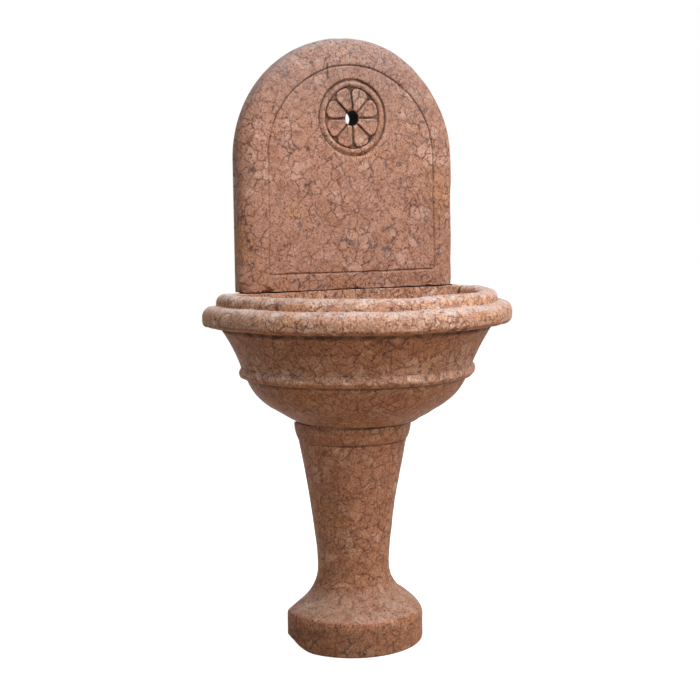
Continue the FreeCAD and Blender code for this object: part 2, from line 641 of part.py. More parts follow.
def make_dowels(label, level, spread, radius, depth):
    """A pair of dowels that stand on the bottoms of their lower holes and reach the tops of the upper ones."""
    rod = doc.addObject("Part::Cylinder", f"{label}_right")
    rod.setExpression("Radius", radius)
    rod.setExpression("Height", f"2 * {depth} + sizes.bed_joint")
    rod.setExpression("Placement.Base.x", spread)
    rod.setExpression("Placement.Base.y", "-sizes.slab_thickness / 2")
    rod.setExpression("Placement.Base.z", f"{level} - {depth}")
    mirrored = doc.addObject("Part::Mirroring", f"{label}_left")
    mirrored.Source = rod
    mirrored.Normal = FreeCAD.Vector(1, 0, 0)
    pair = doc.addObject("Part::Compound", label)
    pair.Label = label
    pair.Links = [rod, mirrored]
    pair.setExpression("Placement.Base.y", HALF_DEPTH)
    return pair


def make_ring(label, inside, outside, foot, top):
    """A flat ring round the waste's axis."""
    body = new_body(label)
    section = new_sketch(body, f"{label}_section", "YZ_Plane", x=f"-{WASTE_AXIS}")
    outline(section, [
        (inside, foot),
        (outside, foot),
        (outside, top),
        (inside, top),
    ])
    revolve(body, f"{label}_turning", section)
    return body


def make_drain_flange():
    """Waste body: flange in the floor, socket for the overflow pipe, threaded body and plain spigot."""
    body = new_body("drain_flange")
    section = new_sketch(body, "drain_flange_section", "YZ_Plane", x=f"-{WASTE_AXIS}")
    flange_foot = f"{FLOOR} - sizes.flange_thickness"
    socket_foot = f"{FLOOR} - sizes.socket_depth"
    outline(section, [
        ("sizes.waste_bore", SPIGOT_FOOT),
        (PIPE_RADIUS, SPIGOT_FOOT),
        (PIPE_RADIUS, WASTE_FOOT),
        (WASTE_RADIUS, WASTE_FOOT),
        (WASTE_RADIUS, flange_foot),
        (FLANGE_RADIUS, flange_foot),
        (FLANGE_RADIUS, FLOOR),
        (SOCKET_RADIUS, FLOOR),
        (SOCKET_RADIUS, socket_foot),
        ("sizes.waste_bore", socket_foot),
    ])
    revolve(body, "drain_flange_turning", section)
    return body


def make_drain_nut():
    """Hexagon nut on the waste body."""
    body = new_body("drain_nut")
    corner = f"{NUT_POINT} / 2"
    shape = new_sketch(body, "drain_nut_outline", "XY_Plane", y=f"-{WASTE_AXIS}", z=NUT_FOOT)
    outline(shape, [
        ("0", f"-{NUT_POINT}"),
        (NUT_FLAT, f"-{corner}"),
        (NUT_FLAT, corner),
        ("0", NUT_POINT),
        (f"-{NUT_FLAT}", corner),
        (f"-{NUT_FLAT}", f"-{corner}"),
    ])
    circle(shape, "0", "0", f"{WASTE_RADIUS} + sizes.pipe_fit")
    pad(body, "drain_nut_block", shape, "sizes.nut_height")
    return body


def make_waste_elbow():
    """Quarter bend between two straight sockets, from the waste's spigot to the outlet pipe."""
    body = new_body("waste_elbow")
    path = new_sketch(body, "waste_elbow_path", "YZ_Plane")
    top = FreeCAD.Vector(-value(WASTE_AXIS), value(WASTE_FOOT), 0)
    bend_top = FreeCAD.Vector(-value(WASTE_AXIS), value(SPIGOT_FOOT), 0)
    bend_end = FreeCAD.Vector(-value(BEND_BACK), value(PIPE_LEVEL), 0)
    end = FreeCAD.Vector(-value(BEND_BACK) + value("sizes.spigot_length"), value(PIPE_LEVEL), 0)
    down = path.addGeometry(Part.LineSegment(top, bend_top))
    turn = path.addGeometry(arc_between(bend_top, bend_end, value("sizes.bend_radius"), LEFT))
    back = path.addGeometry(Part.LineSegment(bend_end, end))
    path.addConstraint(Sketcher.Constraint("Tangent", down, END, turn, START))
    path.addConstraint(Sketcher.Constraint("Tangent", turn, END, back, START))
    pin(path, down, START, f"-{WASTE_AXIS}", WASTE_FOOT)
    pin(path, down, END, f"-{WASTE_AXIS}", SPIGOT_FOOT)
    pin(path, back, END, f"-{BEND_BACK} + sizes.spigot_length", PIPE_LEVEL)
    doc.recompute()
    mouth = new_sketch(body, "waste_elbow_mouth", "XY_Plane", z=WASTE_FOOT)
    circle(mouth, "0", f"-{WASTE_AXIS}", BEND_RADIUS)
    circle(mouth, "0", f"-{WASTE_AXIS}", "sizes.waste_bore")
    bend = body.newObject("PartDesign::AdditivePipe", "waste_elbow_bend")
    bend.Profile = mouth
    bend.Spine = path
    doc.recompute()
    upper = new_sketch(body, "waste_elbow_upper_socket", "XY_Plane", z=WASTE_FOOT)
    circle(upper, "0", f"-{WASTE_AXIS}", f"{PIPE_RADIUS} + sizes.pipe_fit")
    pocket(body, "waste_elbow_upper_bore", upper, "sizes.spigot_length")
    rear = new_sketch(body, "waste_elbow_rear_socket", "XZ_Plane", z=f"{BEND_BACK} - sizes.spigot_length")
    circle(rear, "0", PIPE_LEVEL, f"{PIPE_RADIUS} + sizes.pipe_fit")
    pocket(body, "waste_elbow_rear_bore", rear, "sizes.spigot_length", upward=True)
    return body


def make_outlet_pipe():
    """Straight pipe from the bottom of the bend's rear socket to the wall plane."""
    body = new_body("outlet_pipe")
    shape = new_sketch(body, "outlet_pipe_outline", "XZ_Plane")
    circle(shape, "0", PIPE_LEVEL, PIPE_RADIUS)
    circle(shape, "0", PIPE_LEVEL, "sizes.waste_bore")
    pad(body, "outlet_pipe_tube", shape, BEND_BACK)
    return body


def make_overflow_pipe():
    """Standpipe: plug with a ring groove, stop collar, straight pipe and belled overflow edge."""
    body = new_body("overflow_pipe")
    plug = f"({SOCKET_RADIUS} - sizes.plug_fit)"
    plug_foot = f"({FLOOR} - sizes.socket_depth + sizes.plug_room)"
    outside = f"({plug} - sizes.overflow_shoulder)"
    inside = f"({outside} - sizes.overflow_wall)"
    stop_foot = f"({FLOOR} + sizes.rest_gap)"
    stop_top = f"({stop_foot} + sizes.stop_thickness)"
    top = f"({FLOOR} + sizes.overflow_height)"
    flare_foot = f"({top} - sizes.flare_height)"
    flare = "(sizes.mouth_flare ^ 2 + sizes.flare_height ^ 2) / (2 * sizes.mouth_flare)"
    groove_half = "(sizes.ring_wire + sizes.ring_fit)"
    groove_level = f"({FLOOR} - sizes.ring_level)"
    groove_bottom = f"({SOCKET_RADIUS} - 2 * sizes.ring_fit - 2 * sizes.ring_wire)"
    section = new_sketch(body, "overflow_pipe_section", "YZ_Plane", x=f"-{WASTE_AXIS}")
    outline(section, [
        (inside, plug_foot),
        (plug, plug_foot),
        (plug, f"{groove_level} - {groove_half}"),
        (groove_bottom, f"{groove_level} - {groove_half}"),
        (groove_bottom, f"{groove_level} + {groove_half}"),
        (plug, f"{groove_level} + {groove_half}"),
        (plug, stop_foot),
        (f"{outside} + sizes.stop_width", stop_foot),
        (f"{outside} + sizes.stop_width", stop_top),
        (outside, stop_top),
        (outside, flare_foot, flare, RIGHT),
        (f"{outside} + sizes.mouth_flare", top),
        (f"{inside} + sizes.mouth_flare", top, flare, LEFT),
        (inside, flare_foot),
    ])
    revolve(body, "overflow_pipe_turning", section)
    return body


def make_overflow_ring():
    """Rubber ring in the plug's groove."""
    ring = doc.addObject("Part::Torus", "overflow_ring")
    ring.Label = "overflow_ring"
    ring.setExpression("Radius1", f"{SOCKET_RADIUS} - sizes.ring_fit - sizes.ring_wire")
    ring.setExpression("Radius2", "sizes.ring_wire")
    ring.setExpression("Placement.Base.y", f"{HALF_DEPTH} - {WASTE_AXIS}")
    ring.setExpression("Placement.Base.z", f"{FLOOR} - sizes.ring_level")
    return ring


nodes = [
    make_pedestal(),
    make_basin_bed(),
    make_dowels("basin_dowels", PEDESTAL_TOP, "sizes.basin_dowel_spread",
                "sizes.basin_dowel_radius", "sizes.basin_dowel_depth"),
    make_basin(),
    make_slab_bed(),
    make_dowels("slab_dowels", RIM_TOP, "sizes.slab_dowel_spread",
                "sizes.slab_dowel_radius", "sizes.slab_dowel_depth"),
    make_back_slab(),
    make_ring("drain_seal", f"{WASTE_RADIUS} + sizes.pipe_fit", FLANGE_RADIUS,
              f"{FLOOR} - sizes.flange_thickness - sizes.seal_thickness", f"{FLOOR} - sizes.flange_thickness"),
    make_drain_flange(),
    make_ring("drain_washer", f"{WASTE_RADIUS} + sizes.pipe_fit", WASHER_RADIUS, NUT_TOP, NUT_SEAT),
    make_drain_nut(),
    make_waste_elbow(),
    make_outlet_pipe(),
    make_overflow_pipe(),
    make_overflow_ring(),
]
doc.recompute()

for item in doc.Objects:
    if "Invalid" in item.State or "Error" in item.State:
        raise RuntimeError(f"{item.Name} failed: {item.State}")
for node in nodes:
    if node.Shape.isNull() or not node.Shape.isValid():
        raise RuntimeError(f"{node.Label} has no valid shape")

os.makedirs("parts", exist_ok=True)
for node in nodes:
    node.Shape.exportStep(f"parts/{node.Label}.step")
    print(f"{node.Label}: {len(node.Shape.Solids)} solids, {node.Shape.Volume / 1000:.1f} cm3")
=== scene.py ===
"""Looks of a wall fountain in red nodular marble: three carved stones, their mortar joints and the waste."""

import math

import bmesh
import bpy
import numpy as np
from bpy.props import FloatProperty, FloatVectorProperty, PointerProperty
from bpy.types import Operator, Panel, PropertyGroup
from mathutils import Matrix, Vector


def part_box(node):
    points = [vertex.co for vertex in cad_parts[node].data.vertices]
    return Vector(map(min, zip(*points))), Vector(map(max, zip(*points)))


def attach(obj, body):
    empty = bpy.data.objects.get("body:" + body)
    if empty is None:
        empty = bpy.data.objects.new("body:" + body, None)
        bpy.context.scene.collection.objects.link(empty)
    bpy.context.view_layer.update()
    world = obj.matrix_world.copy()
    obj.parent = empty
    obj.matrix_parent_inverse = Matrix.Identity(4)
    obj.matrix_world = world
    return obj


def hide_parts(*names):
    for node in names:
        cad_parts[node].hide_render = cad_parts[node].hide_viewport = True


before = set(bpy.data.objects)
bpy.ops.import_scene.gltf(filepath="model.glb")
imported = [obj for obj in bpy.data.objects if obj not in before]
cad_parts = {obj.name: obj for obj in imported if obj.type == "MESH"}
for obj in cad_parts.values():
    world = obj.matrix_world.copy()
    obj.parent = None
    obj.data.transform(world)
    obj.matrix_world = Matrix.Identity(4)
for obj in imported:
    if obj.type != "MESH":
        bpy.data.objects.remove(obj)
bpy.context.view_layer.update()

bl_info = {
    "name": "Marble Wall Fountain",
    "version": (1, 0, 0),
    "blender": (4, 5, 0),
    "location": "3D View > Sidebar > Fountain",
    "description": "Carved stones, metalwork and studio of a wall fountain in red nodular marble",
    "category": "Object",
}

SENSOR = 36

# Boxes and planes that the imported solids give
PEDESTAL_LOW, PEDESTAL_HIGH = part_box("pedestal")
BASIN_LOW, BASIN_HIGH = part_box("basin")
SLAB_LOW, SLAB_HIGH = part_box("back_slab")
FLANGE_LOW, FLANGE_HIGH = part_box("drain_flange")
WALL = SLAB_HIGH.y
FACE = SLAB_LOW.y
WASTE_Y = (FLANGE_LOW.y + FLANGE_HIGH.y) / 2

# Sides that an arc turns to, the rosette's petals, and how finely the stones are divided
LEFT, RIGHT = 1, -1
PETALS = 8
PEDESTAL_RINGS, PEDESTAL_COLUMNS, PEDESTAL_TOP_ROWS, PEDESTAL_FOOT_ROWS = 170, 176, 10, 8
BASIN_RINGS, BASIN_COLUMNS, BASIN_WALL_COLUMNS, HOLLOW_RINGS = 150, 300, 72, 60
RIM_ROWS, BASIN_FLOOR_ROWS, UNDERSIDE_ROWS = 6, 12, 9
SLAB_COLUMNS, ROSETTE_RINGS, FIELD_RINGS, LINE_RINGS, BORDER_RINGS = 560, 64, 34, 15, 28
SIDE_ROWS, BACK_ROWS, BORE_ROWS = 16, 7, 9

# Step along a rubbed line, the widths of its bell curve, a fine mesh's spacing, and how near points meet
FINE_STEP, BELL_WIDTHS = 0.0005, 3
FINE_SPACING = 0.0025
MERGE = 1e-6

# Weathering: waves of a random field and their sizes, smoothing, and the gaps behind a smoothed face where an
# effect starts and is full
WAVES, WAVE_SPREAD = 24, (0.6, 1.6)
SLOW_WAVE, QUICK_WAVE, QUICK_SHARE = 0.16, 0.045, 0.5
NICK_WAVE, SMALL_NICK_WAVE, SMALL_NICK_SHARE = 0.015, 0.006, 0.6
SMOOTH_ROUNDS = 8
# Gap behind the smoothed face where grime with painted shade in hollows starts and is full
SOIL_AND_SHADE_GAP = (0.00006, 0.0009)
NICK_GAP = (0.00025, 0.0009)
NICK_PEAK = (0.8, 2.2)
WEAR_GAP = (0.00008, 0.0008)
CHIP_FLAT, CHIP_RAGGED = 0.45, 0.22

# Depths in front of the wall plane over which a stone starts to stray and starts to hold dirt lines
STILL_SKIN = (0.006, 0.001)
BARE_SKIN = (0.004, 0.001)


def length(name, description, default):
    """A size in metres, shown with its unit."""
    return FloatProperty(name=name, description=description, default=default, unit="LENGTH", precision=4)


def amount(name, description, default):
    """A plain number from 0 up."""
    return FloatProperty(name=name, description=description, default=default, min=0)


def angle(name, description, degrees):
    """A turn, given in degrees."""
    return FloatProperty(name=name, description=description, default=math.radians(degrees), subtype="ANGLE")


def power(name, description, default):
    """Strength of a lamp."""
    return FloatProperty(name=name, description=description, default=default, subtype="POWER")


def colour(name, description, default):
    """A surface colour."""
    return FloatVectorProperty(name=name, description=description, default=default, subtype="COLOR", size=3)


class PedestalSizes(PropertyGroup):
    """Turned pedestal."""
    axis: length("Axis", "Turning axis, in front of the wall", 0.029)
    foot_radius: length("Foot radius", "Round foot", PEDESTAL_HIGH.x)
    foot_height: length("Foot height", "Upright face of the foot", 0.062)
    foot_ease: length("Foot ease", "Worn lower edge of the foot", 0.007)
    arris_width: length("Arris width", "Worn arris over the foot's face, across", 0.0055)
    arris_rise: length("Arris rise", "Worn arris over the foot's face", 0.0155)
    shoulder_width: length("Shoulder width", "Sloping shoulder with its arris, across", 0.044)
    shoulder_rise: length("Shoulder rise", "Sloping shoulder with its arris", 0.05)
    shoulder_round: length("Shoulder round", "Radius of the shoulder's slight swelling", 0.15)
    crisp_width: length("Crisp arris width", "Arris where it is least worn, at the left, across", 0.0035)
    crisp_rise: length("Crisp arris rise", "Arris where it is least worn, at the left", 0.009)
    crisp_height: length("Crisp arris height", "Upright face under that arris", 0.077)
    corner_wear: length("Corner wear", "How far the foot's lower back corners are worn off the floor", 0.02)
    waist_radius: length("Waist radius", "Narrowest place", 0.0875)
    waist_height: length("Waist height", "Narrowest place, above the floor", 0.182)
    stem_flare: length("Stem flare", "How far the waist's curve opens above the waist", 0.007)
    stem_rise: length("Stem rise", "Height of that curve", 0.086)
    stem_hollow: length("Stem hollow", "Radius of the shaft's slight hollow", 2.6)
    collar_radius: length("Collar radius", "Shaft just under the incised line", 0.132)
    collar_step: length("Collar step", "How far the neck stands out over the line", 0.003)
    collar_drop: length("Collar drop", "Incised line, below the top of the neck", 0.045)
    collar_round: length("Collar round", "Radius of the neck's swelling", 0.1)
    neck_radius: length("Neck radius", "Top of the neck", 0.145)
    line_width: length("Line width", "Incised line", 0.004)
    line_depth: length("Line depth", "Incised line", 0.003)
    recess_half: length("Recess half width", "Slot for the waste bend", 0.0285)
    recess_floor: length("Recess floor", "Slot for the waste bend, above the floor", 0.4745)


class BasinSizes(PropertyGroup):
    """D-shaped basin."""
    axis: length("Axis", "Turning axis, in front of the wall", WALL - FACE)
    foot_radius: length("Foot radius", "Flat underside", 0.146)
    bowl_height: length("Bowl height", "Round bowl under the bead", 0.108)
    bowl_radius: length("Bowl radius", "Bowl, at the foot of the bead", 0.267)
    slope_width: length("Slope width", "Straight slope under the bowl, beyond the underside", 0.059)
    slope_rise: length("Slope rise", "Straight slope under the bowl", 0.035)
    bowl_round: length("Bowl round", "Radius of the bowl's curve over that slope", 0.1475)
    bead_height: length("Bead height", "Bead", 0.028)
    bead_bulge: length("Bead bulge", "How far the bead swells", 0.012)
    body_foot: length("Body foot radius", "Hollowed body, over the bead", 0.28)
    body_top: length("Body top radius", "Hollowed body, under the rim", 0.329)
    body_height: length("Body height", "Hollowed body", 0.094)
    body_hollow: length("Body hollow", "Radius of the body's hollow curve", 0.351)
    roll_height: length("Roll height", "Lower roll of the rim", 0.054)
    roll_bulge: length("Roll bulge", "How far the lower roll swells", 0.024)
    edge_width: length("Edge width", "Lower edge of the lower roll, inside its face", 0.0155)
    edge_rise: length("Edge rise", "Lower edge of the lower roll, above its foot", 0.006)
    edge_round: length("Edge round", "Radius of that edge", 0.012)
    face_foot: length("Face foot", "Upright face of the lower roll, above its foot", 0.0185)
    face_top: length("Face top", "Top of that face, above the roll's foot", 0.028)
    lip_radius: length("Lip radius", "Upper roll of the rim", 0.3385)
    lip_face: length("Lip face", "Upright foot of the upper roll", 0.0055)
    lip_round: length("Lip round", "Outer rounding of the upper roll", 0.021)
    lip_top: length("Lip top", "Flat top of the upper roll", 0.007)
    mouth_round: length("Mouth round", "Inner rounding of the upper roll", 0.016)
    hollow_side: length("Hollow side", "Hollow, over its round bottom", 0.255)
    hollow_rise: length("Hollow rise", "Height of the hollow's round bottom", 0.11)
    hollow_round: length("Hollow round", "Radius of the hollow's round bottom", 0.125)
    floor_radius: length("Floor radius", "Flat floor of the hollow", 0.15)
    seat_radius: length("Seat radius", "Seat of the waste flange", 0.033)
    seat_depth: length("Seat depth", "Seat of the waste flange", 0.006)
    hole_radius: length("Hole radius", "Hole round the waste", 0.024)
    nut_radius: length("Nut hollow radius", "Hollow for the nut in the underside", 0.037)
    nut_depth: length("Nut hollow depth", "Hollow for the nut in the underside", 0.03)


class SlabSizes(PropertyGroup):
    """Arched back slab with its carved rosette."""
    border_width: length("Border width", "Cushioned border round the panel", 0.061)
    border_fall: length("Border fall", "How far the border falls back before it meets the side", 0.029)
    panel_inset: length("Panel inset", "Middle of the incised panel line, from the slab's edge", 0.065)
    panel_foot: length("Panel foot", "Middle of the incised panel line, above the slab's foot", 0.039)
    line_width: length("Line width", "Incised panel line", 0.004)
    line_depth: length("Line depth", "Incised panel line", 0.003)
    rosette_height: length("Rosette height", "Rosette's centre, above the slab's foot", 0.4015)
    ring_outside: length("Ring outside", "Outside of the rosette's ring", 0.0855)
    ring_inside: length("Ring inside", "Inside of the rosette's ring", 0.0725)
    ring_drop: length("Ring drop", "Edges of the ring, below the slab's face", 0.003)
    groove_width: length("Groove width", "Cut round the outside of the ring", 0.005)
    groove_depth: length("Groove depth", "Cut round the outside of the ring", 0.004)
    field_depth: length("Field depth", "Sunk ground between the petals", 0.0065)
    petal_gap: length("Petal gap", "Groove between two petals", 0.005)
    petal_round: length("Petal round", "Rounded outer corners of a petal", 0.016)
    petal_drop: length("Petal drop", "Edges of the petals, below the slab's face", 0.0015)
    petal_dish: length("Petal dish", "How far the middle of a petal is hollowed", 0.0014)
    hub_radius: length("Hub radius", "Rim round the bore, where the grooves run out", 0.0195)
    bore_radius: length("Bore radius", "Bare bore for a spout", 0.018)
    turn: angle("Turn", "How far the carver's rosette is turned", 2)


class StoneLook(PropertyGroup):
    """Colours and wear of the marble."""
    rose: colour("Rose", "Darker nodules", (0.385, 0.168, 0.104))
    salmon: colour("Salmon", "Common ground", (0.530, 0.262, 0.170))
    pale: colour("Pale", "Light nodules", (0.660, 0.385, 0.280))
    ochre: colour("Ochre", "Orange patches", (0.540, 0.240, 0.112))
    vein: colour("Vein", "Dark seams between nodules", (0.120, 0.048, 0.037))
    stain: colour("Stain", "Grey purple bruises", (0.150, 0.092, 0.088))
    # Near black colour of grime and of painted shade in hollows, joints and under edges
    dirt_and_shade: colour("Dirt", "Dirt in grooves", (0.018, 0.0135, 0.0075))
    wear: length("Wear", "How far arrises are rubbed round", 0.0016)
    nick: length("Nick", "Deepest small nick in an arris", 0.0014)
    wander: length("Wander", "How far hand-cut faces stray", 0.0006)


class StudioLook(PropertyGroup):
    """Camera and light."""
    lens: amount("Lens", "Focal length on a 36 mm sensor, in millimetres", 65.67)
    camera_place: FloatVectorProperty(name="Camera place", description="Where the camera stands",
                                      default=(-1.42435, -2.53265, 1.04535), subtype="TRANSLATION", size=3)
    camera_yaw: angle("Camera yaw", "Turn to the right of the wall's normal", 27.63)
    camera_pitch: angle("Camera pitch", "Tilt below the horizon", 6.21)
    camera_roll: angle("Camera roll", "Turn about the line of sight", -0.67)
    key_power: power("Key power", "Soft light from the front, above right", 46)
    top_power: power("Top power", "Broad soft light from above", 84)
    fill_power: power("Fill power", "Low soft light from the front", 27)
    left_power: power("Left power", "Weak soft light from the front, above left", 10)
    back_power: power("Back power", "Soft light on the wall side", 24)
    sky: amount("Sky", "Even light from all round", 0.2)


def bend(start, end, radius, side, count=48):
    """Points on the shorter arc from start to end: the centre lies on the chord's middle line, to the left
    or right of the way, and the angle round it runs evenly."""
    start = np.array(start, float)
    half = (np.array(end, float) - start) / 2
    span = np.hypot(*half)
    rise = math.sqrt(max(radius ** 2 - span ** 2, 0))
    centre = start + half + side * rise * np.array((-half[1], half[0])) / span
    first = math.atan2(start[1] - centre[1], start[0] - centre[0])
    angle = first + side * 2 * math.asin(min(span / radius, 1)) * np.linspace(0, 1, count)
    return centre + radius * np.stack((np.cos(angle), np.sin(angle)), 1)


def outline(corners):
    """A line through corners: (x, y) starts a straight run, and (x, y, radius, side) starts an arc."""
    parts = []
    for corner, following in zip(corners, corners[1:]):
        if len(corner) == 2:
            parts.append(np.array([corner], float))
        else:
            parts.append(bend(corner[:2], following[:2], *corner[2:])[:-1])
    parts.append(np.array([corners[-1][:2]], float))
    return np.concatenate(parts)


def bulge_radius(chord, bulge):
    """Radius of an arc that swells by a bulge over a chord: (half chord squared + bulge squared) / 2
    bulges."""
    return ((chord / 2) ** 2 + bulge ** 2) / (2 * bulge)


def upright_radius(across, upward):
    """Radius of an arc that is upright at one end: (width squared + height squared) / 2 widths."""
    return (across ** 2 + upward ** 2) / (2 * across)


def walked(line):
    """Length along a line to each of its points."""
    return np.concatenate(([0], np.cumsum(np.hypot(*np.diff(line, axis=0).T))))


def rubbed(line, wear):
    """A line with its corners rubbed round: the line's mean over a bell curve whose width is the wear."""
    along = walked(line)
    spots = np.linspace(0, along[-1], int(along[-1] / FINE_STEP) + 1)
    fine = np.stack([np.interp(spots, along, line[:, axis]) for axis in (0, 1)], 1)
    reach = int(BELL_WIDTHS * wear / FINE_STEP)
    weight = np.exp(-0.5 * (np.arange(-reach, reach + 1) * FINE_STEP / wear) ** 2)
    weight /= weight.sum()
    padded = np.pad(fine, ((reach, reach), (0, 0)), mode="reflect", reflect_type="odd")
    return np.stack([np.convolve(padded[:, axis], weight, "valid") for axis in (0, 1)], 1)


def gathered(line, count, pull=0.012):
    """Points on a line, closer where it bends: each step weighs its length plus a pull for each radian
    turned."""
    steps = np.diff(line, axis=0)
    heading = np.unwrap(np.arctan2(steps[:, 1], steps[:, 0]))
    weight = np.hypot(*steps.T) + pull * np.abs(np.gradient(heading))
    along = np.concatenate(([0], np.cumsum(weight)))
    spots = np.linspace(0, along[-1], count)
    return np.stack([np.interp(spots, along, line[:, axis]) for axis in (0, 1)], 1)


def ringed(radius, turn, level, axis_gap, back):
    """Rings about an upright axis in front of the wall: x = r sin(a), y = axis - r cos(a), and y = back at
    both ends."""
    ahead = WALL - axis_gap - radius * np.cos(turn)
    rings = np.stack((radius * np.sin(turn), ahead, level + 0 * turn), -1)
    rings[:, (0, -1), 1] = back
    return rings


def turned(radius, level, axis_gap, columns):
    """Rings of a stone turned about an upright axis and cut off at the wall: a runs evenly between the wall
    cuts, pi - acos(gap / r) to either side of the front. The radius is one for each ring, or one for each
    point."""
    reach = np.pi - np.arccos(np.clip(axis_gap / radius, -1, 1))
    return ringed(radius, reach * np.linspace(-1, 1, columns), level, axis_gap, WALL)


def half_turned(line, axis_gap, columns):
    """Rings of the front half of a turned hollow: a runs evenly from -90 to 90 degrees."""
    radius, level = line[:, :1], line[:, 1:]
    return ringed(radius, np.pi / 2 * np.linspace(-1, 1, columns), level, axis_gap, WALL - axis_gap)


def spanned(first, last, rows):
    """Rows of points on straight lines from one edge to another."""
    share = np.linspace(0, 1, rows)[:, None, None]
    return first * (1 - share) + last * share


def bridged(rings, columns):
    """Straight lines across each ring, from its first point to its last."""
    share = np.linspace(0, 1, columns)[None, :, None]
    return rings[:, :1] * (1 - share) + rings[:, -1:] * share


def eased(value, low, high):
    """0 below low, 1 above high, and a smooth S between."""
    share = np.clip((value - low) / (high - low), 0, 1)
    return share * share * (3 - 2 * share)


def bell(away, width):
    """A bell curve of a distance: exp(-(distance / width) squared)."""
    return np.exp(-(away / width) ** 2)


def before_wall(points, skin):
    """0 on the wall plane and 1 in front of it, with a smooth S between the two depths of a skin."""
    return 1 - eased(points[:, 1], WALL - skin[0], WALL - skin[1])


def drift(points, size, seed):
    """A smooth random field about 0 with spread 1: waves of about one size in seeded directions, added
    up."""
    chance = np.random.default_rng(seed)
    ways = chance.normal(size=(WAVES, 3))
    ways /= np.linalg.norm(ways, axis=1)[:, None]
    pitch = size * chance.uniform(*WAVE_SPREAD, WAVES)
    phase = chance.uniform(0, 2 * np.pi, WAVES)
    return np.sin(points @ (2 * np.pi * ways / pitch[:, None]).T + phase).sum(1) / math.sqrt(WAVES / 2)


def welded(grids):
    """Points and triangles of several grids: each cell is two triangles, points that meet become one, and
    triangles that lose a side go."""
    points = np.concatenate([grid.reshape(-1, 3) for grid in grids])
    faces = []
    start = 0
    for grid in grids:
        rows, columns = grid.shape[:2]
        number = start + np.arange(rows * columns).reshape(rows, columns)
        near, far = number[:-1, :-1], number[1:, 1:]
        faces.append(np.stack((near, number[:-1, 1:], far), -1).reshape(-1, 3))
        faces.append(np.stack((near, far, number[1:, :-1]), -1).reshape(-1, 3))
        start += rows * columns
    keys = np.round(points / MERGE).astype(np.int64)
    first, same = np.unique(keys, axis=0, return_index=True, return_inverse=True)[1:]
    faces = same.reshape(-1)[np.concatenate(faces)]
    whole = (faces[:, 0] != faces[:, 1]) & (faces[:, 1] != faces[:, 2]) & (faces[:, 2] != faces[:, 0])
    return points[first], faces[whole].astype(np.int32)


def new_piece(name, points, faces):
    """A smooth mesh object at the origin, with its faces turned outwards."""
    mesh = bpy.data.meshes.new(name)
    mesh.vertices.add(len(points))
    mesh.vertices.foreach_set("co", points.astype(np.float32).ravel())
    mesh.loops.add(faces.size)
    mesh.loops.foreach_set("vertex_index", faces.ravel())
    mesh.polygons.add(len(faces))
    mesh.polygons.foreach_set("loop_start", np.arange(0, faces.size, 3, dtype=np.int32))
    mesh.update(calc_edges=True)
    mesh.validate()
    shell = bmesh.new()
    shell.from_mesh(mesh)
    bmesh.ops.recalc_face_normals(shell, faces=shell.faces)
    shell.to_mesh(mesh)
    shell.free()
    mesh.shade_smooth()
    piece = bpy.data.objects.new(name, mesh)
    bpy.context.collection.objects.link(piece)
    return piece


def read(mesh, what):
    """A vertex vector of the mesh as rows of three."""
    values = np.empty(len(mesh.vertices) * 3, np.float32)
    mesh.vertices.foreach_get(what, values)
    return values.reshape(-1, 3).astype(float)


def place(mesh, points):
    """Put the mesh's points somewhere else."""
    mesh.vertices.foreach_set("co", points.astype(np.float32).ravel())
    mesh.update()


def links_of(mesh):
    """The two ends of each edge."""
    ends = np.empty(len(mesh.edges) * 2, np.int32)
    mesh.edges.foreach_get("vertices", ends)
    return ends.reshape(-1, 2)


def smoothed(values, links, rounds, share=1.0):
    """Values moved towards the mean of their neighbours, half way each round, by a share for each point."""
    share = np.broadcast_to(share, (len(values),))
    count = np.bincount(links.ravel(), minlength=len(values)).clip(1)
    for _ in range(rounds):
        for axis in range(values.shape[1]):
            column = values[:, axis]
            total = np.bincount(links[:, 0], column[links[:, 1]], len(column))
            total += np.bincount(links[:, 1], column[links[:, 0]], len(column))
            values[:, axis] = column + share * 0.5 * (total / count - column)
    return values


def spacing_of(points, links):
    """Mean length of the edges that meet at each point."""
    reach = np.linalg.norm(points[links[:, 0]] - points[links[:, 1]], axis=1)
    total = np.bincount(links[:, 0], reach, len(points)) + np.bincount(links[:, 1], reach, len(points))
    return total / np.bincount(links.ravel(), minlength=len(points)).clip(1)


def hollowness(mesh, links):
    """How far each point lies behind a smoothed copy of the mesh, along its normal, counted less where the
    mesh is coarse: gap times (fine spacing / spacing) squared, at most the gap."""
    points = read(mesh, "co")
    gap = ((smoothed(points.copy(), links, SMOOTH_ROUNDS) - points) * read(mesh, "normal")).sum(1)
    return gap * np.minimum(1, (FINE_SPACING / spacing_of(points, links)) ** 2)


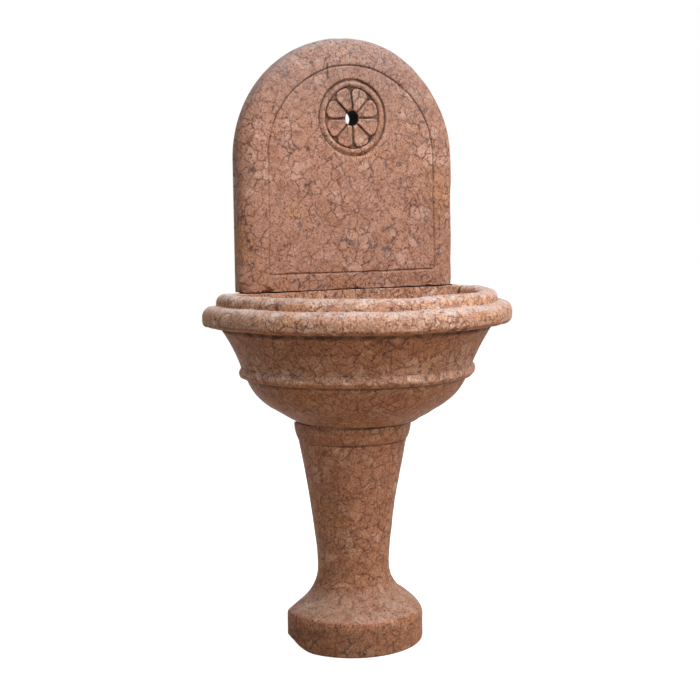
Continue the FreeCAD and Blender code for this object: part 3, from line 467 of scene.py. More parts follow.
def weathered(piece, look, seed, foot, chips, dirt_and_shade):
    """Hand-cut and weathered stone: faces stray by a slow random field, arrises lose small nicks where a
    finer field peaks, and chips sink, each given by its spot, size and depth. Straying and nicks fade out
    at the wall plane, and downwards between the two heights of the foot. The mesh then carries how much
    grime and painted shade its hollows, joints and under edges take (soil), and how sharp it is (wear) at
    each point."""
    mesh = piece.data
    links = links_of(mesh)
    points = read(mesh, "co")
    loose = np.minimum(before_wall(points, STILL_SKIN), eased(points[:, 2], *foot))
    stray = [drift(points, SLOW_WAVE, seed + axis) + QUICK_SHARE * drift(points, QUICK_WAVE, seed + 10 + axis)
             for axis in range(3)]
    points += look.wander * loose[:, None] * np.stack(stray, 1)
    place(mesh, points)
    gap = hollowness(mesh, links)
    # Hollows get grime together with painted shade, more the further they lie behind the smoothed face
    soil_and_shade = dirt_and_shade(points, eased(gap, *SOIL_AND_SHADE_GAP))
    peaks = drift(points, NICK_WAVE, seed + 20) + SMALL_NICK_SHARE * drift(points, SMALL_NICK_WAVE, seed + 21)
    sink = look.nick * eased(-gap, *NICK_GAP) * eased(peaks, *NICK_PEAK) * loose
    for spot, size, depth in chips:
        away = np.linalg.norm(points - np.array(spot), axis=1) / size
        away *= 1 + CHIP_RAGGED * drift(points, size, seed + 30)
        sink += depth * (1 - eased(away, CHIP_FLAT, 1))
    place(mesh, points - sink[:, None] * read(mesh, "normal"))
    wear = eased(-hollowness(mesh, links), *WEAR_GAP)
    for name, values in (("soil_and_shade", soil_and_shade), ("wear", wear)):
        mesh.attributes.new(name, "FLOAT", "POINT").data.foreach_set("value", values.astype(np.float32))


def pedestal_section(sizes, look, arris, swelling, line_depth, step):
    """Half section of the pedestal: arris is the height of the foot's upright face and the width and rise of
    the arris over it, swelling the radius of the shoulder, line_depth and step the cut and the ledge of the
    collar."""
    low, high = PEDESTAL_LOW.z, PEDESTAL_HIGH.z
    face, across, upward = arris
    shoulder = sizes.foot_radius - sizes.shoulder_width
    shoulder_top = sizes.foot_height + sizes.shoulder_rise
    hollow = upright_radius(shoulder - sizes.waist_radius, sizes.waist_height - shoulder_top)
    waist = upright_radius(sizes.stem_flare, sizes.stem_rise)
    stem_foot = sizes.waist_height + sizes.stem_rise
    line_foot = high - sizes.collar_drop - sizes.line_width
    return outline([
        (sizes.foot_radius - sizes.foot_ease, low, sizes.foot_ease, LEFT),
        (sizes.foot_radius, low + sizes.foot_ease),
        (sizes.foot_radius, face, upright_radius(across, upward), LEFT),
        (sizes.foot_radius - across, face + upward, swelling, LEFT),
        (shoulder, shoulder_top, hollow, RIGHT),
        (sizes.waist_radius, sizes.waist_height, waist, RIGHT),
        (sizes.waist_radius + sizes.stem_flare, stem_foot, sizes.stem_hollow, RIGHT),
        (sizes.collar_radius, line_foot),
        (sizes.collar_radius - line_depth, line_foot + sizes.line_width / 2),
        (sizes.collar_radius + step, line_foot + sizes.line_width, sizes.collar_round, LEFT),
        (sizes.neck_radius - look.wear, high),
        (sizes.neck_radius - 3 * look.wear, high),
    ])


def pedestal_dirt_and_shade(points, soil_and_shade, sizes):
    """Grime and painted shade on the pedestal, over what its hollows take: a darker foot face, painted shade
    that is strongest at the left, grime and painted shade in the collar line, and a black band of painted
    shade for the joint at the top of the neck. The line and the joint fade out at the left."""
    shade_left, shade_right, shade_change = 0.34, 0.1, (-0.1, 0.1)
    joint_depth, joint_fade = (0.003, 0.0065), (-0.11, -0.05)
    line_share, line_fade = 0.7, (-0.13, -0.1)
    x, z = points[:, 0], points[:, 2]
    below = PEDESTAL_HIGH.z - z
    # Painted shade: the foot's face is darker, most at the left
    darkening = shade_left - (shade_left - shade_right) * eased(x, *shade_change)
    darkening *= 1 - eased(z, sizes.foot_height, sizes.crisp_height)
    # Painted shade: a black band at the top of the neck stands for the shade in the joint
    joint = (1 - eased(below, *joint_depth)) * eased(x, *joint_fade)
    # Grime and painted shade in the incised collar line
    line = line_share * bell(below - sizes.collar_drop - 0.5 * sizes.line_width, 0.6 * sizes.line_width)
    line *= eased(x, *line_fade) * before_wall(points, BARE_SKIN)
    return np.maximum.reduce((soil_and_shade, darkening, joint, line))


def make_pedestal(sizes, look):
    """Rings of the turned section from the foot's underside to the top of the neck, a wall face whose
    upper rings run round the slot for the waste bend, and flat ends ruled between the two. The rings are a
    mix of three sections: the arris is crisp at the left and front and worn at the right, and the collar
    line fades at the left."""
    low = PEDESTAL_LOW.z
    worn = (sizes.foot_height, sizes.arris_width, sizes.arris_rise)
    crisp = (sizes.crisp_height, sizes.crisp_width, sizes.crisp_rise)
    nearly_straight = 20 * sizes.shoulder_round
    faint_line, faint_step = 0.1 * sizes.line_depth, 0.3 * sizes.collar_step
    kinds = ((worn, sizes.shoulder_round, sizes.line_depth, sizes.collar_step),
             (crisp, nearly_straight, sizes.line_depth, sizes.collar_step),
             (worn, sizes.shoulder_round, faint_line, faint_step))
    plain, sharp, faint = [rubbed(pedestal_section(sizes, look, *kind), look.wear) for kind in kinds]
    radius, level = np.hsplit(gathered(plain, PEDESTAL_RINGS), 2)
    at_level = [np.interp(level, line[:, 1], line[:, 0]) for line in (plain, sharp, faint)]
    crisp_end, faint_end = (0.15, 0.5), (-0.75, -0.55)
    across = np.linspace(-1, 1, PEDESTAL_COLUMNS)
    radius = radius + (1 - eased(across, *crisp_end)) * (at_level[1] - at_level[0])
    radius = radius + (1 - eased(across, *faint_end)) * (at_level[2] - at_level[0])
    shell = turned(radius, level, sizes.axis, PEDESTAL_COLUMNS)
    half = sizes.recess_half
    path = outline([(-half, WALL), (-half, WASTE_Y, half, LEFT), (half, WASTE_Y), (half, WALL)])
    share = np.linspace(0, 1, PEDESTAL_COLUMNS)
    edges = (0, 0.3, 0.7, 1)
    ends = shell[:, (0, -1), 0]
    straight = np.stack([np.interp(share, edges, (left, -half, half, right)) for left, right in ends])
    along = walked(path) / walked(path)[-1]
    into = np.clip((share - edges[1]) / (edges[2] - edges[1]), 0, 1)
    inside = (share > edges[1]) & (share < edges[2])
    slot_x = np.where(inside, np.interp(into, along, path[:, 0]), straight)
    slot_y = np.where(inside, np.interp(into, along, path[:, 1]), WALL)
    level = shell[:, :1, 2] + 0 * straight
    plain = np.stack((straight, np.full_like(straight, WALL), level), -1)
    slotted = np.stack((slot_x, np.broadcast_to(slot_y, slot_x.shape), level), -1)
    for rings in (plain, slotted):
        rings[:, 0] = shell[:, 0]
        rings[:, -1] = shell[:, -1]
    floor = int(np.argmin(np.abs(shell[:, 0, 2] - sizes.recess_floor)))
    back = np.concatenate((plain[:floor + 1], slotted[floor:]))
    top = spanned(shell[-1], back[-1], PEDESTAL_TOP_ROWS)
    underside = spanned(shell[0], back[0], PEDESTAL_FOOT_ROWS)
    piece = new_piece("pedestal_stone", *welded([shell, back, top, underside]))
    points = read(piece.data, "co")
    corner_side, corner_depth = 0.1, 0.11
    corner = eased(np.abs(points[:, 0]), corner_side, sizes.foot_radius)
    corner *= eased(points[:, 1], WALL - corner_depth, WALL)
    points[:, 2] += sizes.corner_wear * corner * (1 - eased(points[:, 2], low, sizes.foot_height))
    place(piece.data, points)
    chips = [
        ((-0.045, WALL - 0.193, 0.071), 0.009, 0.0016),
        ((0.075, WALL - 0.178, 0.073), 0.008, 0.0014),
        ((-0.013, WALL - 0.197, 0.045), 0.006, 0.0012),
    ]
    foot = (low + 0.0005, low + 0.008)
    weathered(piece, look, 100, foot, chips, lambda points, soil_and_shade: pedestal_dirt_and_shade(points, soil_and_shade, sizes))
    return piece


def closed_loop(arc, straight):
    """One closed loop of a front arc, left to right, and the straight line behind it, right to left."""
    return np.concatenate((arc, straight[-2::-1]))


def circle_towards(loop, radius, level):
    """Points of a circle round the waste, each on the way from its axis to a point of a loop."""
    way = loop[:, :2] - np.array((0, WASTE_Y))
    way /= np.linalg.norm(way, axis=1)[:, None]
    return np.concatenate((way * radius + np.array((0, WASTE_Y)), np.full((len(loop), 1), level)), 1)


def basin_dirt_and_shade(points, soil_and_shade, sizes, low, bead_foot, body_top):
    """Grime and painted shade on the basin, over what its hollows take: a black band of painted shade for
    the joint at its foot, a thin line of painted shade under the bead and a ragged one under the rim, both
    on the outside only."""
    joint_height = (0.001, 0.003)
    line_share, line_drop, line_width, line_inset = 0.75, 0.001, 0.003, (-0.01, -0.005)
    rim_share, rim_ragged, rim_wave = 0.85, 0.2, 0.03
    rim_below, rim_above, rim_inset = (-0.013, -0.003), (0, 0.007), (-0.017, -0.011)
    z = points[:, 2]
    radius = np.hypot(points[:, 0], points[:, 1] - FACE)
    outside = before_wall(points, BARE_SKIN)
    # Painted shade: a black band at the foot stands for the shade in the joint
    joint = 1 - eased(z - low, *joint_height)
    # Painted shade: a thin dark line under the bead
    shade_under_bead = line_share * bell(z - bead_foot + line_drop, line_width)
    shade_under_bead *= outside * eased(radius - sizes.bowl_radius, *line_inset)
    # Painted shade: a ragged dark line under the rim's lower roll
    shade_under_rim = rim_share + rim_ragged * drift(points, rim_wave, 240)
    shade_under_rim *= eased(z - body_top, *rim_below) * (1 - eased(z - body_top, *rim_above))
    shade_under_rim *= outside * eased(radius - sizes.body_top, *rim_inset)
    return np.clip(np.maximum.reduce((soil_and_shade, joint, shade_under_bead, shade_under_rim)), 0, 1)


def make_basin(sizes, look):
    """Rings of the outer section cut at the wall, rings of the front half of the hollow, the flat faces
    between them, and one band of loops from the floor's edge down the waste hole to the edge of the
    underside."""
    low, high = BASIN_LOW.z, BASIN_HIGH.z
    bead_foot = low + sizes.bowl_height
    bead_top = bead_foot + sizes.bead_height
    body_top = bead_top + sizes.body_height
    roll_top = body_top + sizes.roll_height
    roll_radius = BASIN_HIGH.x - sizes.roll_bulge
    roll_top_round = upright_radius(sizes.roll_bulge, sizes.roll_height - sizes.face_top)
    lip_top = sizes.lip_radius - sizes.lip_round
    mouth = lip_top - sizes.lip_top
    floor = FLANGE_HIGH.z
    bead_chord = math.hypot(sizes.body_foot - sizes.bowl_radius, sizes.bead_height)
    face_lean = 0.0005
    section = outline([
        (sizes.foot_radius - 3 * look.wear, low),
        (sizes.foot_radius, low),
        (sizes.foot_radius + sizes.slope_width, low + sizes.slope_rise, sizes.bowl_round, LEFT),
        (sizes.bowl_radius, bead_foot, bulge_radius(bead_chord, sizes.bead_bulge), LEFT),
        (sizes.body_foot, bead_top, sizes.body_hollow, RIGHT),
        (sizes.body_top, body_top),
        (BASIN_HIGH.x - sizes.edge_width, body_top + sizes.edge_rise, sizes.edge_round, LEFT),
        (BASIN_HIGH.x - face_lean, body_top + sizes.face_foot),
        (BASIN_HIGH.x, body_top + sizes.face_top, roll_top_round, LEFT),
        (roll_radius, roll_top),
        (sizes.lip_radius, roll_top),
        (sizes.lip_radius, roll_top + sizes.lip_face, sizes.lip_round, LEFT),
        (lip_top, high),
    ])
    line = gathered(rubbed(section, look.wear), BASIN_RINGS)
    shell = turned(line[:, :1], line[:, 1:], sizes.axis, BASIN_COLUMNS)
    wall_face = bridged(shell, BASIN_WALL_COLUMNS)
    hollow_line = outline([
        (mouth, high, sizes.mouth_round, LEFT),
        (mouth - sizes.mouth_round, high - sizes.mouth_round),
        (sizes.hollow_side, floor + sizes.hollow_rise, sizes.hollow_round, RIGHT),
        (sizes.floor_radius, floor),
    ])
    hollow = half_turned(gathered(rubbed(hollow_line, look.wear), HOLLOW_RINGS), sizes.axis, BASIN_COLUMNS)
    inner_wall = bridged(hollow, BASIN_WALL_COLUMNS)
    floor_loop = closed_loop(hollow[-1], inner_wall[-1])
    foot_loop = closed_loop(shell[0], wall_face[0])
    seat = floor - sizes.seat_depth
    nut_seat = low + sizes.nut_depth
    way_down = np.stack([circle_towards(floor_loop, radius, level) for radius, level in (
        (sizes.seat_radius, floor), (sizes.seat_radius, seat), (sizes.hole_radius, seat),
        (sizes.hole_radius, nut_seat), (sizes.nut_radius, nut_seat), (sizes.nut_radius, low))])
    grids = [
        shell, wall_face, hollow, inner_wall,
        spanned(shell[-1], hollow[0], RIM_ROWS),
        spanned(wall_face[-1], inner_wall[0], RIM_ROWS),
        spanned(floor_loop, way_down[0], BASIN_FLOOR_ROWS),
        way_down,
        spanned(way_down[-1], foot_loop, UNDERSIDE_ROWS),
    ]
    piece = new_piece("basin_stone", *welded(grids))
    edge = body_top + sizes.edge_rise
    chips = [
        ((0.045, FACE - 0.361, edge), 0.014, 0.005),
        ((0.075, FACE - 0.356, edge), 0.012, 0.004),
        ((-0.02, FACE - 0.363, edge), 0.010, 0.0025),
        ((-0.215, FACE - 0.292, edge), 0.012, 0.003),
        ((0.21, FACE - 0.296, edge), 0.010, 0.003),
        ((0.30, FACE - 0.203, edge), 0.009, 0.003),
    ]
    foot = (low + 0.0005, low + 0.006)
    weathered(piece, look, 200, foot, chips,
              lambda points, soil_and_shade: basin_dirt_and_shade(points, soil_and_shade, sizes, low, bead_foot, body_top))
    return piece


def slab_edge(x, z, half, spring):
    """Distance from a point of the slab to its side or arch: half width less |x| below the springing, and
    less the distance from the arch's centre above it."""
    return half - np.where(z > spring, np.hypot(x, z - spring), np.abs(x))


def petal_depth(radius, turn, sizes):
    """How far the rosette's petals lie below the slab's face. A petal's inner distance d is the smaller of
    its distances to the groove beside it and to its outer arc, rounded where the two meet. Its edge rises
    from the sunk ground over d = 0, and its middle is dished as d grows."""
    edge_rise, dish_slope = (-0.0013, 0.0014), (0.0028, 0.012)
    sector = 2 * np.pi / PETALS
    offset = np.abs((turn - sizes.turn) % sector - sector / 2)
    aside = radius * np.sin(sector / 2 - offset) - sizes.petal_gap / 2
    aside = np.where(radius < sizes.hub_radius, aside + 2 * (sizes.hub_radius - radius), aside)
    outward = sizes.ring_inside - sizes.petal_gap / 2 - radius
    corner = sizes.petal_round
    rounded = corner - np.hypot(np.maximum(corner - aside, 0), np.maximum(corner - outward, 0))
    inner = np.where((aside < corner) & (outward < corner), rounded, np.minimum(aside, outward))
    ground = (sizes.field_depth - sizes.petal_drop) * (1 - eased(inner, *edge_rise))
    return sizes.petal_drop + ground + sizes.petal_dish * eased(inner, *dish_slope)


def slab_depth(x, z, sizes, half, spring):
    """How far the carved face lies behind the slab's front plane: a quarter ellipse over the border, a
    bell-shaped cut along the panel line, shallower at the lower left, and the rosette's petals, half-round
    ring and outer groove inside its radius."""
    worn_off, worn_side, worn_top = 0.3, (0.15, 0.2), (0.25, 0.33)
    gutter_middle, gutter_side = 0.001, (0.0006, 0.0026)
    bore_sink, bore_ease = 0.0025, 0.0018
    edge = slab_edge(x, z, half, spring)
    beyond = np.clip(1 - edge / sizes.border_width, 0, 1)
    depth = sizes.border_fall * (1 - np.sqrt(1 - beyond ** 2))
    height = z - SLAB_LOW.z
    from_line = np.minimum(edge - sizes.panel_inset, height - sizes.panel_foot)
    kept = 1 - worn_off * eased(-x, *worn_side) * (1 - eased(height, *worn_top))
    depth += sizes.line_depth * kept * bell(from_line, 0.5 * sizes.line_width)
    up = height - sizes.rosette_height
    radius = np.hypot(x, up)
    middle = (sizes.ring_outside + sizes.ring_inside) / 2
    breadth = (sizes.ring_outside - sizes.ring_inside) / 2
    ring = sizes.ring_drop * np.clip((radius - middle) / breadth, -1, 1) ** 2
    gutter = 1 - eased(np.abs(radius - sizes.ring_inside + gutter_middle), *gutter_side)
    inner = np.maximum(petal_depth(radius, np.arctan2(up, x), sizes), sizes.field_depth * gutter)
    inner = inner + bore_sink * np.exp(-(radius - sizes.bore_radius) / bore_ease)
    from_groove = radius - sizes.ring_outside - sizes.groove_width / 2
    groove = sizes.groove_depth * bell(from_groove, 0.55 * sizes.groove_width)
    rosette = np.where(radius < sizes.ring_outside, ring, 0)
    rosette = np.where(radius < sizes.ring_inside, inner, rosette)
    return depth + np.maximum(rosette, groove)


def ray_reach(turn, half, spring, foot, centre):
    """Distance from the rosette's centre to a round-headed outline along each angle: to the arch's circle
    where that lies above the springing, or else to the nearer of the side and the foot."""
    tiny, far = 1e-9, 1e9
    across, upward = np.cos(turn), np.sin(turn)
    lift = (centre - spring) * upward
    arch = -lift + np.sqrt(lift ** 2 + half ** 2 - (centre - spring) ** 2)
    side = half / np.maximum(np.abs(across), tiny)
    below = np.where(upward < -tiny, (centre - foot) / np.maximum(-upward, tiny), far)
    return np.where(centre + arch * upward > spring, arch, np.minimum(side, below))


def slab_dirt_and_shade(points, soil_and_shade, sizes, half, centre):
    """Grime and painted shade on the slab: less along the panel line's left side and foot, more in the
    rosette's grooves, a short crack across the panel line's arch, and painted shade that makes the bore
    black inside."""
    reduced_side, side_inset, side_end = 0.25, (-0.012, -0.006), (0, 0.08)
    reduced_foot, foot_over = 0.8, (0.005, 0.01)
    carved_share, carved_depth, carved_end = 0.8, (0.0028, 0.0055), 0.012
    bore_shade_share, bore_shade_edge, bore_shade_depth = 1.8, (0.0005, 0.002), (0.003, 0.009)
    crack_place, crack_sway, crack_width = -0.066, 0.0012, 0.0028
    crack_top, crack_foot = (0.058, 0.066), (0.094, 0.104)
    x, depth, z = points[:, 0], points[:, 1] - FACE, points[:, 2]
    spring = SLAB_HIGH.z - half
    line = half - sizes.panel_inset
    beside = eased(-x - line, *side_inset) * (1 - eased(z - spring, *side_end))
    below = 1 - eased(z - SLAB_LOW.z - sizes.panel_foot, *foot_over)
    # Less grime and painted shade along the panel line's left side and foot
    reduced = soil_and_shade * (1 - np.maximum(reduced_side * beside, reduced_foot * below))
    radius = np.hypot(x, z - centre)
    # Grime and painted shade in the rosette, darker where its carving is deeper, and in its outer groove
    carved = carved_share * eased(depth, *carved_depth) * (radius < sizes.ring_outside) * (depth < carved_end)
    near_face = depth < 0.01
    from_groove = radius - sizes.ring_outside - sizes.groove_width / 2
    groove = carved_share * bell(from_groove, 0.5 * sizes.groove_width) * near_face
    crack = bell(x - crack_place + crack_sway * drift(points, 0.03, 340), crack_width) * near_face
    crack *= eased(SLAB_HIGH.z - z, *crack_top) * (1 - eased(SLAB_HIGH.z - z, *crack_foot))
    # Painted shade: the bore is black inside
    bore = bore_shade_share * (1 - eased(radius - sizes.bore_radius, *bore_shade_edge))
    bore *= eased(depth, *bore_shade_depth) * before_wall(points, BARE_SKIN)
    return np.maximum.reduce((reduced, carved, groove, crack, bore))


def make_slab(sizes, look):
    """One closed band of rings round the bore: out over the rosette, the panel and the border, down the
    sides, back across the wall face and forward again through the bore. A ring is a set of distances along
    rays from the rosette's centre."""
    half, foot = SLAB_HIGH.x, SLAB_LOW.z
    spring = SLAB_HIGH.z - half
    centre = foot + sizes.rosette_height
    corner = math.atan2(-sizes.rosette_height, half)
    top_turn = np.pi - 2 * corner
    top_count = round(SLAB_COLUMNS * top_turn / (2 * np.pi))
    turn = np.concatenate((np.linspace(corner, corner + top_turn, top_count, endpoint=False),
                           np.linspace(corner + top_turn, corner + 2 * np.pi, SLAB_COLUMNS - top_count + 1)))
    edge = ray_reach(turn, half, spring, foot, centre)
    panel = ray_reach(turn, half - sizes.panel_inset, spring, foot + sizes.panel_foot, centre)
    rosette_margin, line_margin = 0.002, 0.006
    rosette_end = sizes.ring_outside + sizes.groove_width + rosette_margin
    rosette = np.linspace(sizes.bore_radius, rosette_end, ROSETTE_RINGS)
    start = np.full_like(turn, rosette[-1])
    bands = (
        (start, panel - line_margin, FIELD_RINGS, 1),
        (panel - line_margin, panel + line_margin, LINE_RINGS, 1),
        (panel + line_margin, edge, BORDER_RINGS, 2),
    )
    rings = [np.broadcast_to(rosette[:, None], (len(rosette), len(turn)))]
    for inner, outer, count, gather in bands:
        share = 1 - np.linspace(1, 0, count)[1:, None] ** gather
        rings.append(inner * (1 - share) + outer * share)
    reach = np.concatenate(rings)
    x = reach * np.cos(turn)
    z = centre + reach * np.sin(turn)
    front = np.stack((x, FACE + slab_depth(x, z, sizes, half, spring), z), -1)
    front[:, -1] = front[:, 0]
    rim = front[-1].copy()
    rim[:, 1] = WALL
    mouth = front[0].copy()
    mouth[:, 1] = WALL
    side = spanned(front[-1], rim, SIDE_ROWS)
    back = spanned(rim, mouth, BACK_ROWS)
    bore = spanned(mouth, front[0], BORE_ROWS)
    piece = new_piece("back_slab_stone", *welded([front, side, back, bore]))
    mesh = piece.data
    points = read(mesh, "co")
    arris_rounds, arris_breadth, arris_end = 6, (0.003, 0.006), (0.004, 0.008)
    low_height, low_end = (0.002, 0.004), (0.003, 0.006)
    height, depth = points[:, 2] - foot, points[:, 1] - FACE
    arris = 1 - eased(slab_edge(points[:, 0], points[:, 2], half, spring), *arris_breadth)
    arris *= 1 - eased(depth - sizes.border_fall, *arris_end)
    low_arris = (1 - eased(height, *low_height)) * (1 - eased(depth, *low_end))
    place(mesh, smoothed(points, links_of(mesh), arris_rounds, np.maximum(arris, low_arris)))
    chips = [
        ((-0.228, FACE + 0.003, foot), 0.014, 0.006),
        ((0.0, FACE, foot), 0.010, 0.002),
        ((0.205, FACE, foot), 0.012, 0.003),
        ((0.137, FACE, spring + 0.174), 0.014, 0.003),
        ((-0.06, FACE + 0.02, SLAB_HIGH.z - 0.006), 0.016, 0.003),
    ]
    weathered(piece, look, 300, (foot, foot + 0.003), chips,
              lambda points, soil_and_shade: slab_dirt_and_shade(points, soil_and_shade, sizes, half, centre))
    return piece


class Recipe:
    """A new node material, built up from the shader's inputs."""

    def __init__(self, name):
        self.material = bpy.data.materials.new(name)
        self.material.use_nodes = True
        self.tree = self.material.node_tree
        self.shader = self.tree.nodes["Principled BSDF"]
        self.place = self.add("ShaderNodeTexCoord").outputs["Object"]

    def put(self, socket, value):
        """Link a socket, or set a plain value on it."""
        if isinstance(value, bpy.types.NodeSocket):
            self.tree.links.new(value, socket)
        elif hasattr(value, "__len__") and len(value) == 3 and socket.type == "RGBA":
            socket.default_value = (*value, 1)
        else:
            socket.default_value = value

    def add(self, kind, inputs=(), **settings):
        """A node with its settings and inputs."""
        node = self.tree.nodes.new(kind)
        for name, setting in settings.items():
            setattr(node, name, setting)
        for key, value in dict(inputs).items():
            self.put(node.inputs[key], value)
        return node

    def noise(self, place, scale, detail=2.0, roughness=0.5):
        """Soft random values from 0 to 1."""
        inputs = {"Vector": place, "Scale": scale, "Detail": detail, "Roughness": roughness}
        return self.add("ShaderNodeTexNoise", inputs).outputs["Fac"]

    def remap(self, value, low, high, to_low=0.0, to_high=1.0):
        """A value moved smoothly from one range to another."""
        inputs = {"Value": value, "From Min": low, "From Max": high, "To Min": to_low, "To Max": to_high}
        return self.add("ShaderNodeMapRange", inputs, interpolation_type="SMOOTHSTEP").outputs["Result"]

    def sum(self, operation, first, second, third=0.0):
        """Arithmetic on values."""
        return self.add("ShaderNodeMath", {0: first, 1: second, 2: third}, operation=operation).outputs[0]

    def times(self, first, second):
        """One value times another."""
        return self.sum("MULTIPLY", first, second)

    def mix(self, share, first, second, blend="MIX"):
        """A mix of two colours."""
        node = self.add("ShaderNodeMix", {0: share, 6: first, 7: second}, data_type="RGBA", blend_type=blend)
        return node.outputs[2]

    def filtered(self, first, second):
        """A colour seen through another."""
        return self.mix(1.0, first, second, "MULTIPLY")

    def stretched(self, scale):
        """Object places scaled by a factor for each axis."""
        return self.add("ShaderNodeMapping", {"Vector": self.place, "Scale": scale}).outputs[0]

    def shift(self, place, pattern_scale, reach):
        """Places pushed about by a soft random field."""
        field = self.add("ShaderNodeTexNoise", {"Vector": place, "Scale": pattern_scale, "Detail": 2.0})
        centred = self.add("ShaderNodeVectorMath", {0: field.outputs["Color"], 1: (0.5, 0.5, 0.5)},
                           operation="SUBTRACT").outputs[0]
        return self.add("ShaderNodeVectorMath", {0: centred, 1: (reach, reach, reach), 2: place},
                        operation="MULTIPLY_ADD").outputs[0]

    def seams(self, place, scale, width):
        """1 on the borders of a cell pattern, fading out over a width in cells."""
        inputs = {"Vector": place, "Scale": scale}
        cells = self.add("ShaderNodeTexVoronoi", inputs, feature="DISTANCE_TO_EDGE")
        return self.remap(cells.outputs["Distance"], 0.0, width, 1.0, 0.0)

    def cells(self, place, scale):
        """One random value for each cell of a cell pattern."""
        tint = self.add("ShaderNodeTexVoronoi", {"Vector": place, "Scale": scale}).outputs["Color"]
        return self.add("ShaderNodeSeparateColor", {"Color": tint}).outputs[0]

    def attribute(self, name):
        """A value that the mesh carries."""
        return self.add("ShaderNodeAttribute", attribute_name=name).outputs["Fac"]

    def bump(self, height, strength, distance):
        """Fine relief on the shader's normal."""
        inputs = {"Height": height, "Strength": strength, "Distance": distance}
        self.put(self.shader.inputs["Normal"], self.add("ShaderNodeBump", inputs).outputs["Normal"])

    def finish(self, **inputs):
        """Set the shader's inputs, whose spaces are written as underscores."""
        for name, value in inputs.items():
            self.put(self.shader.inputs[name.replace("_", " ")], value)
        return self.material


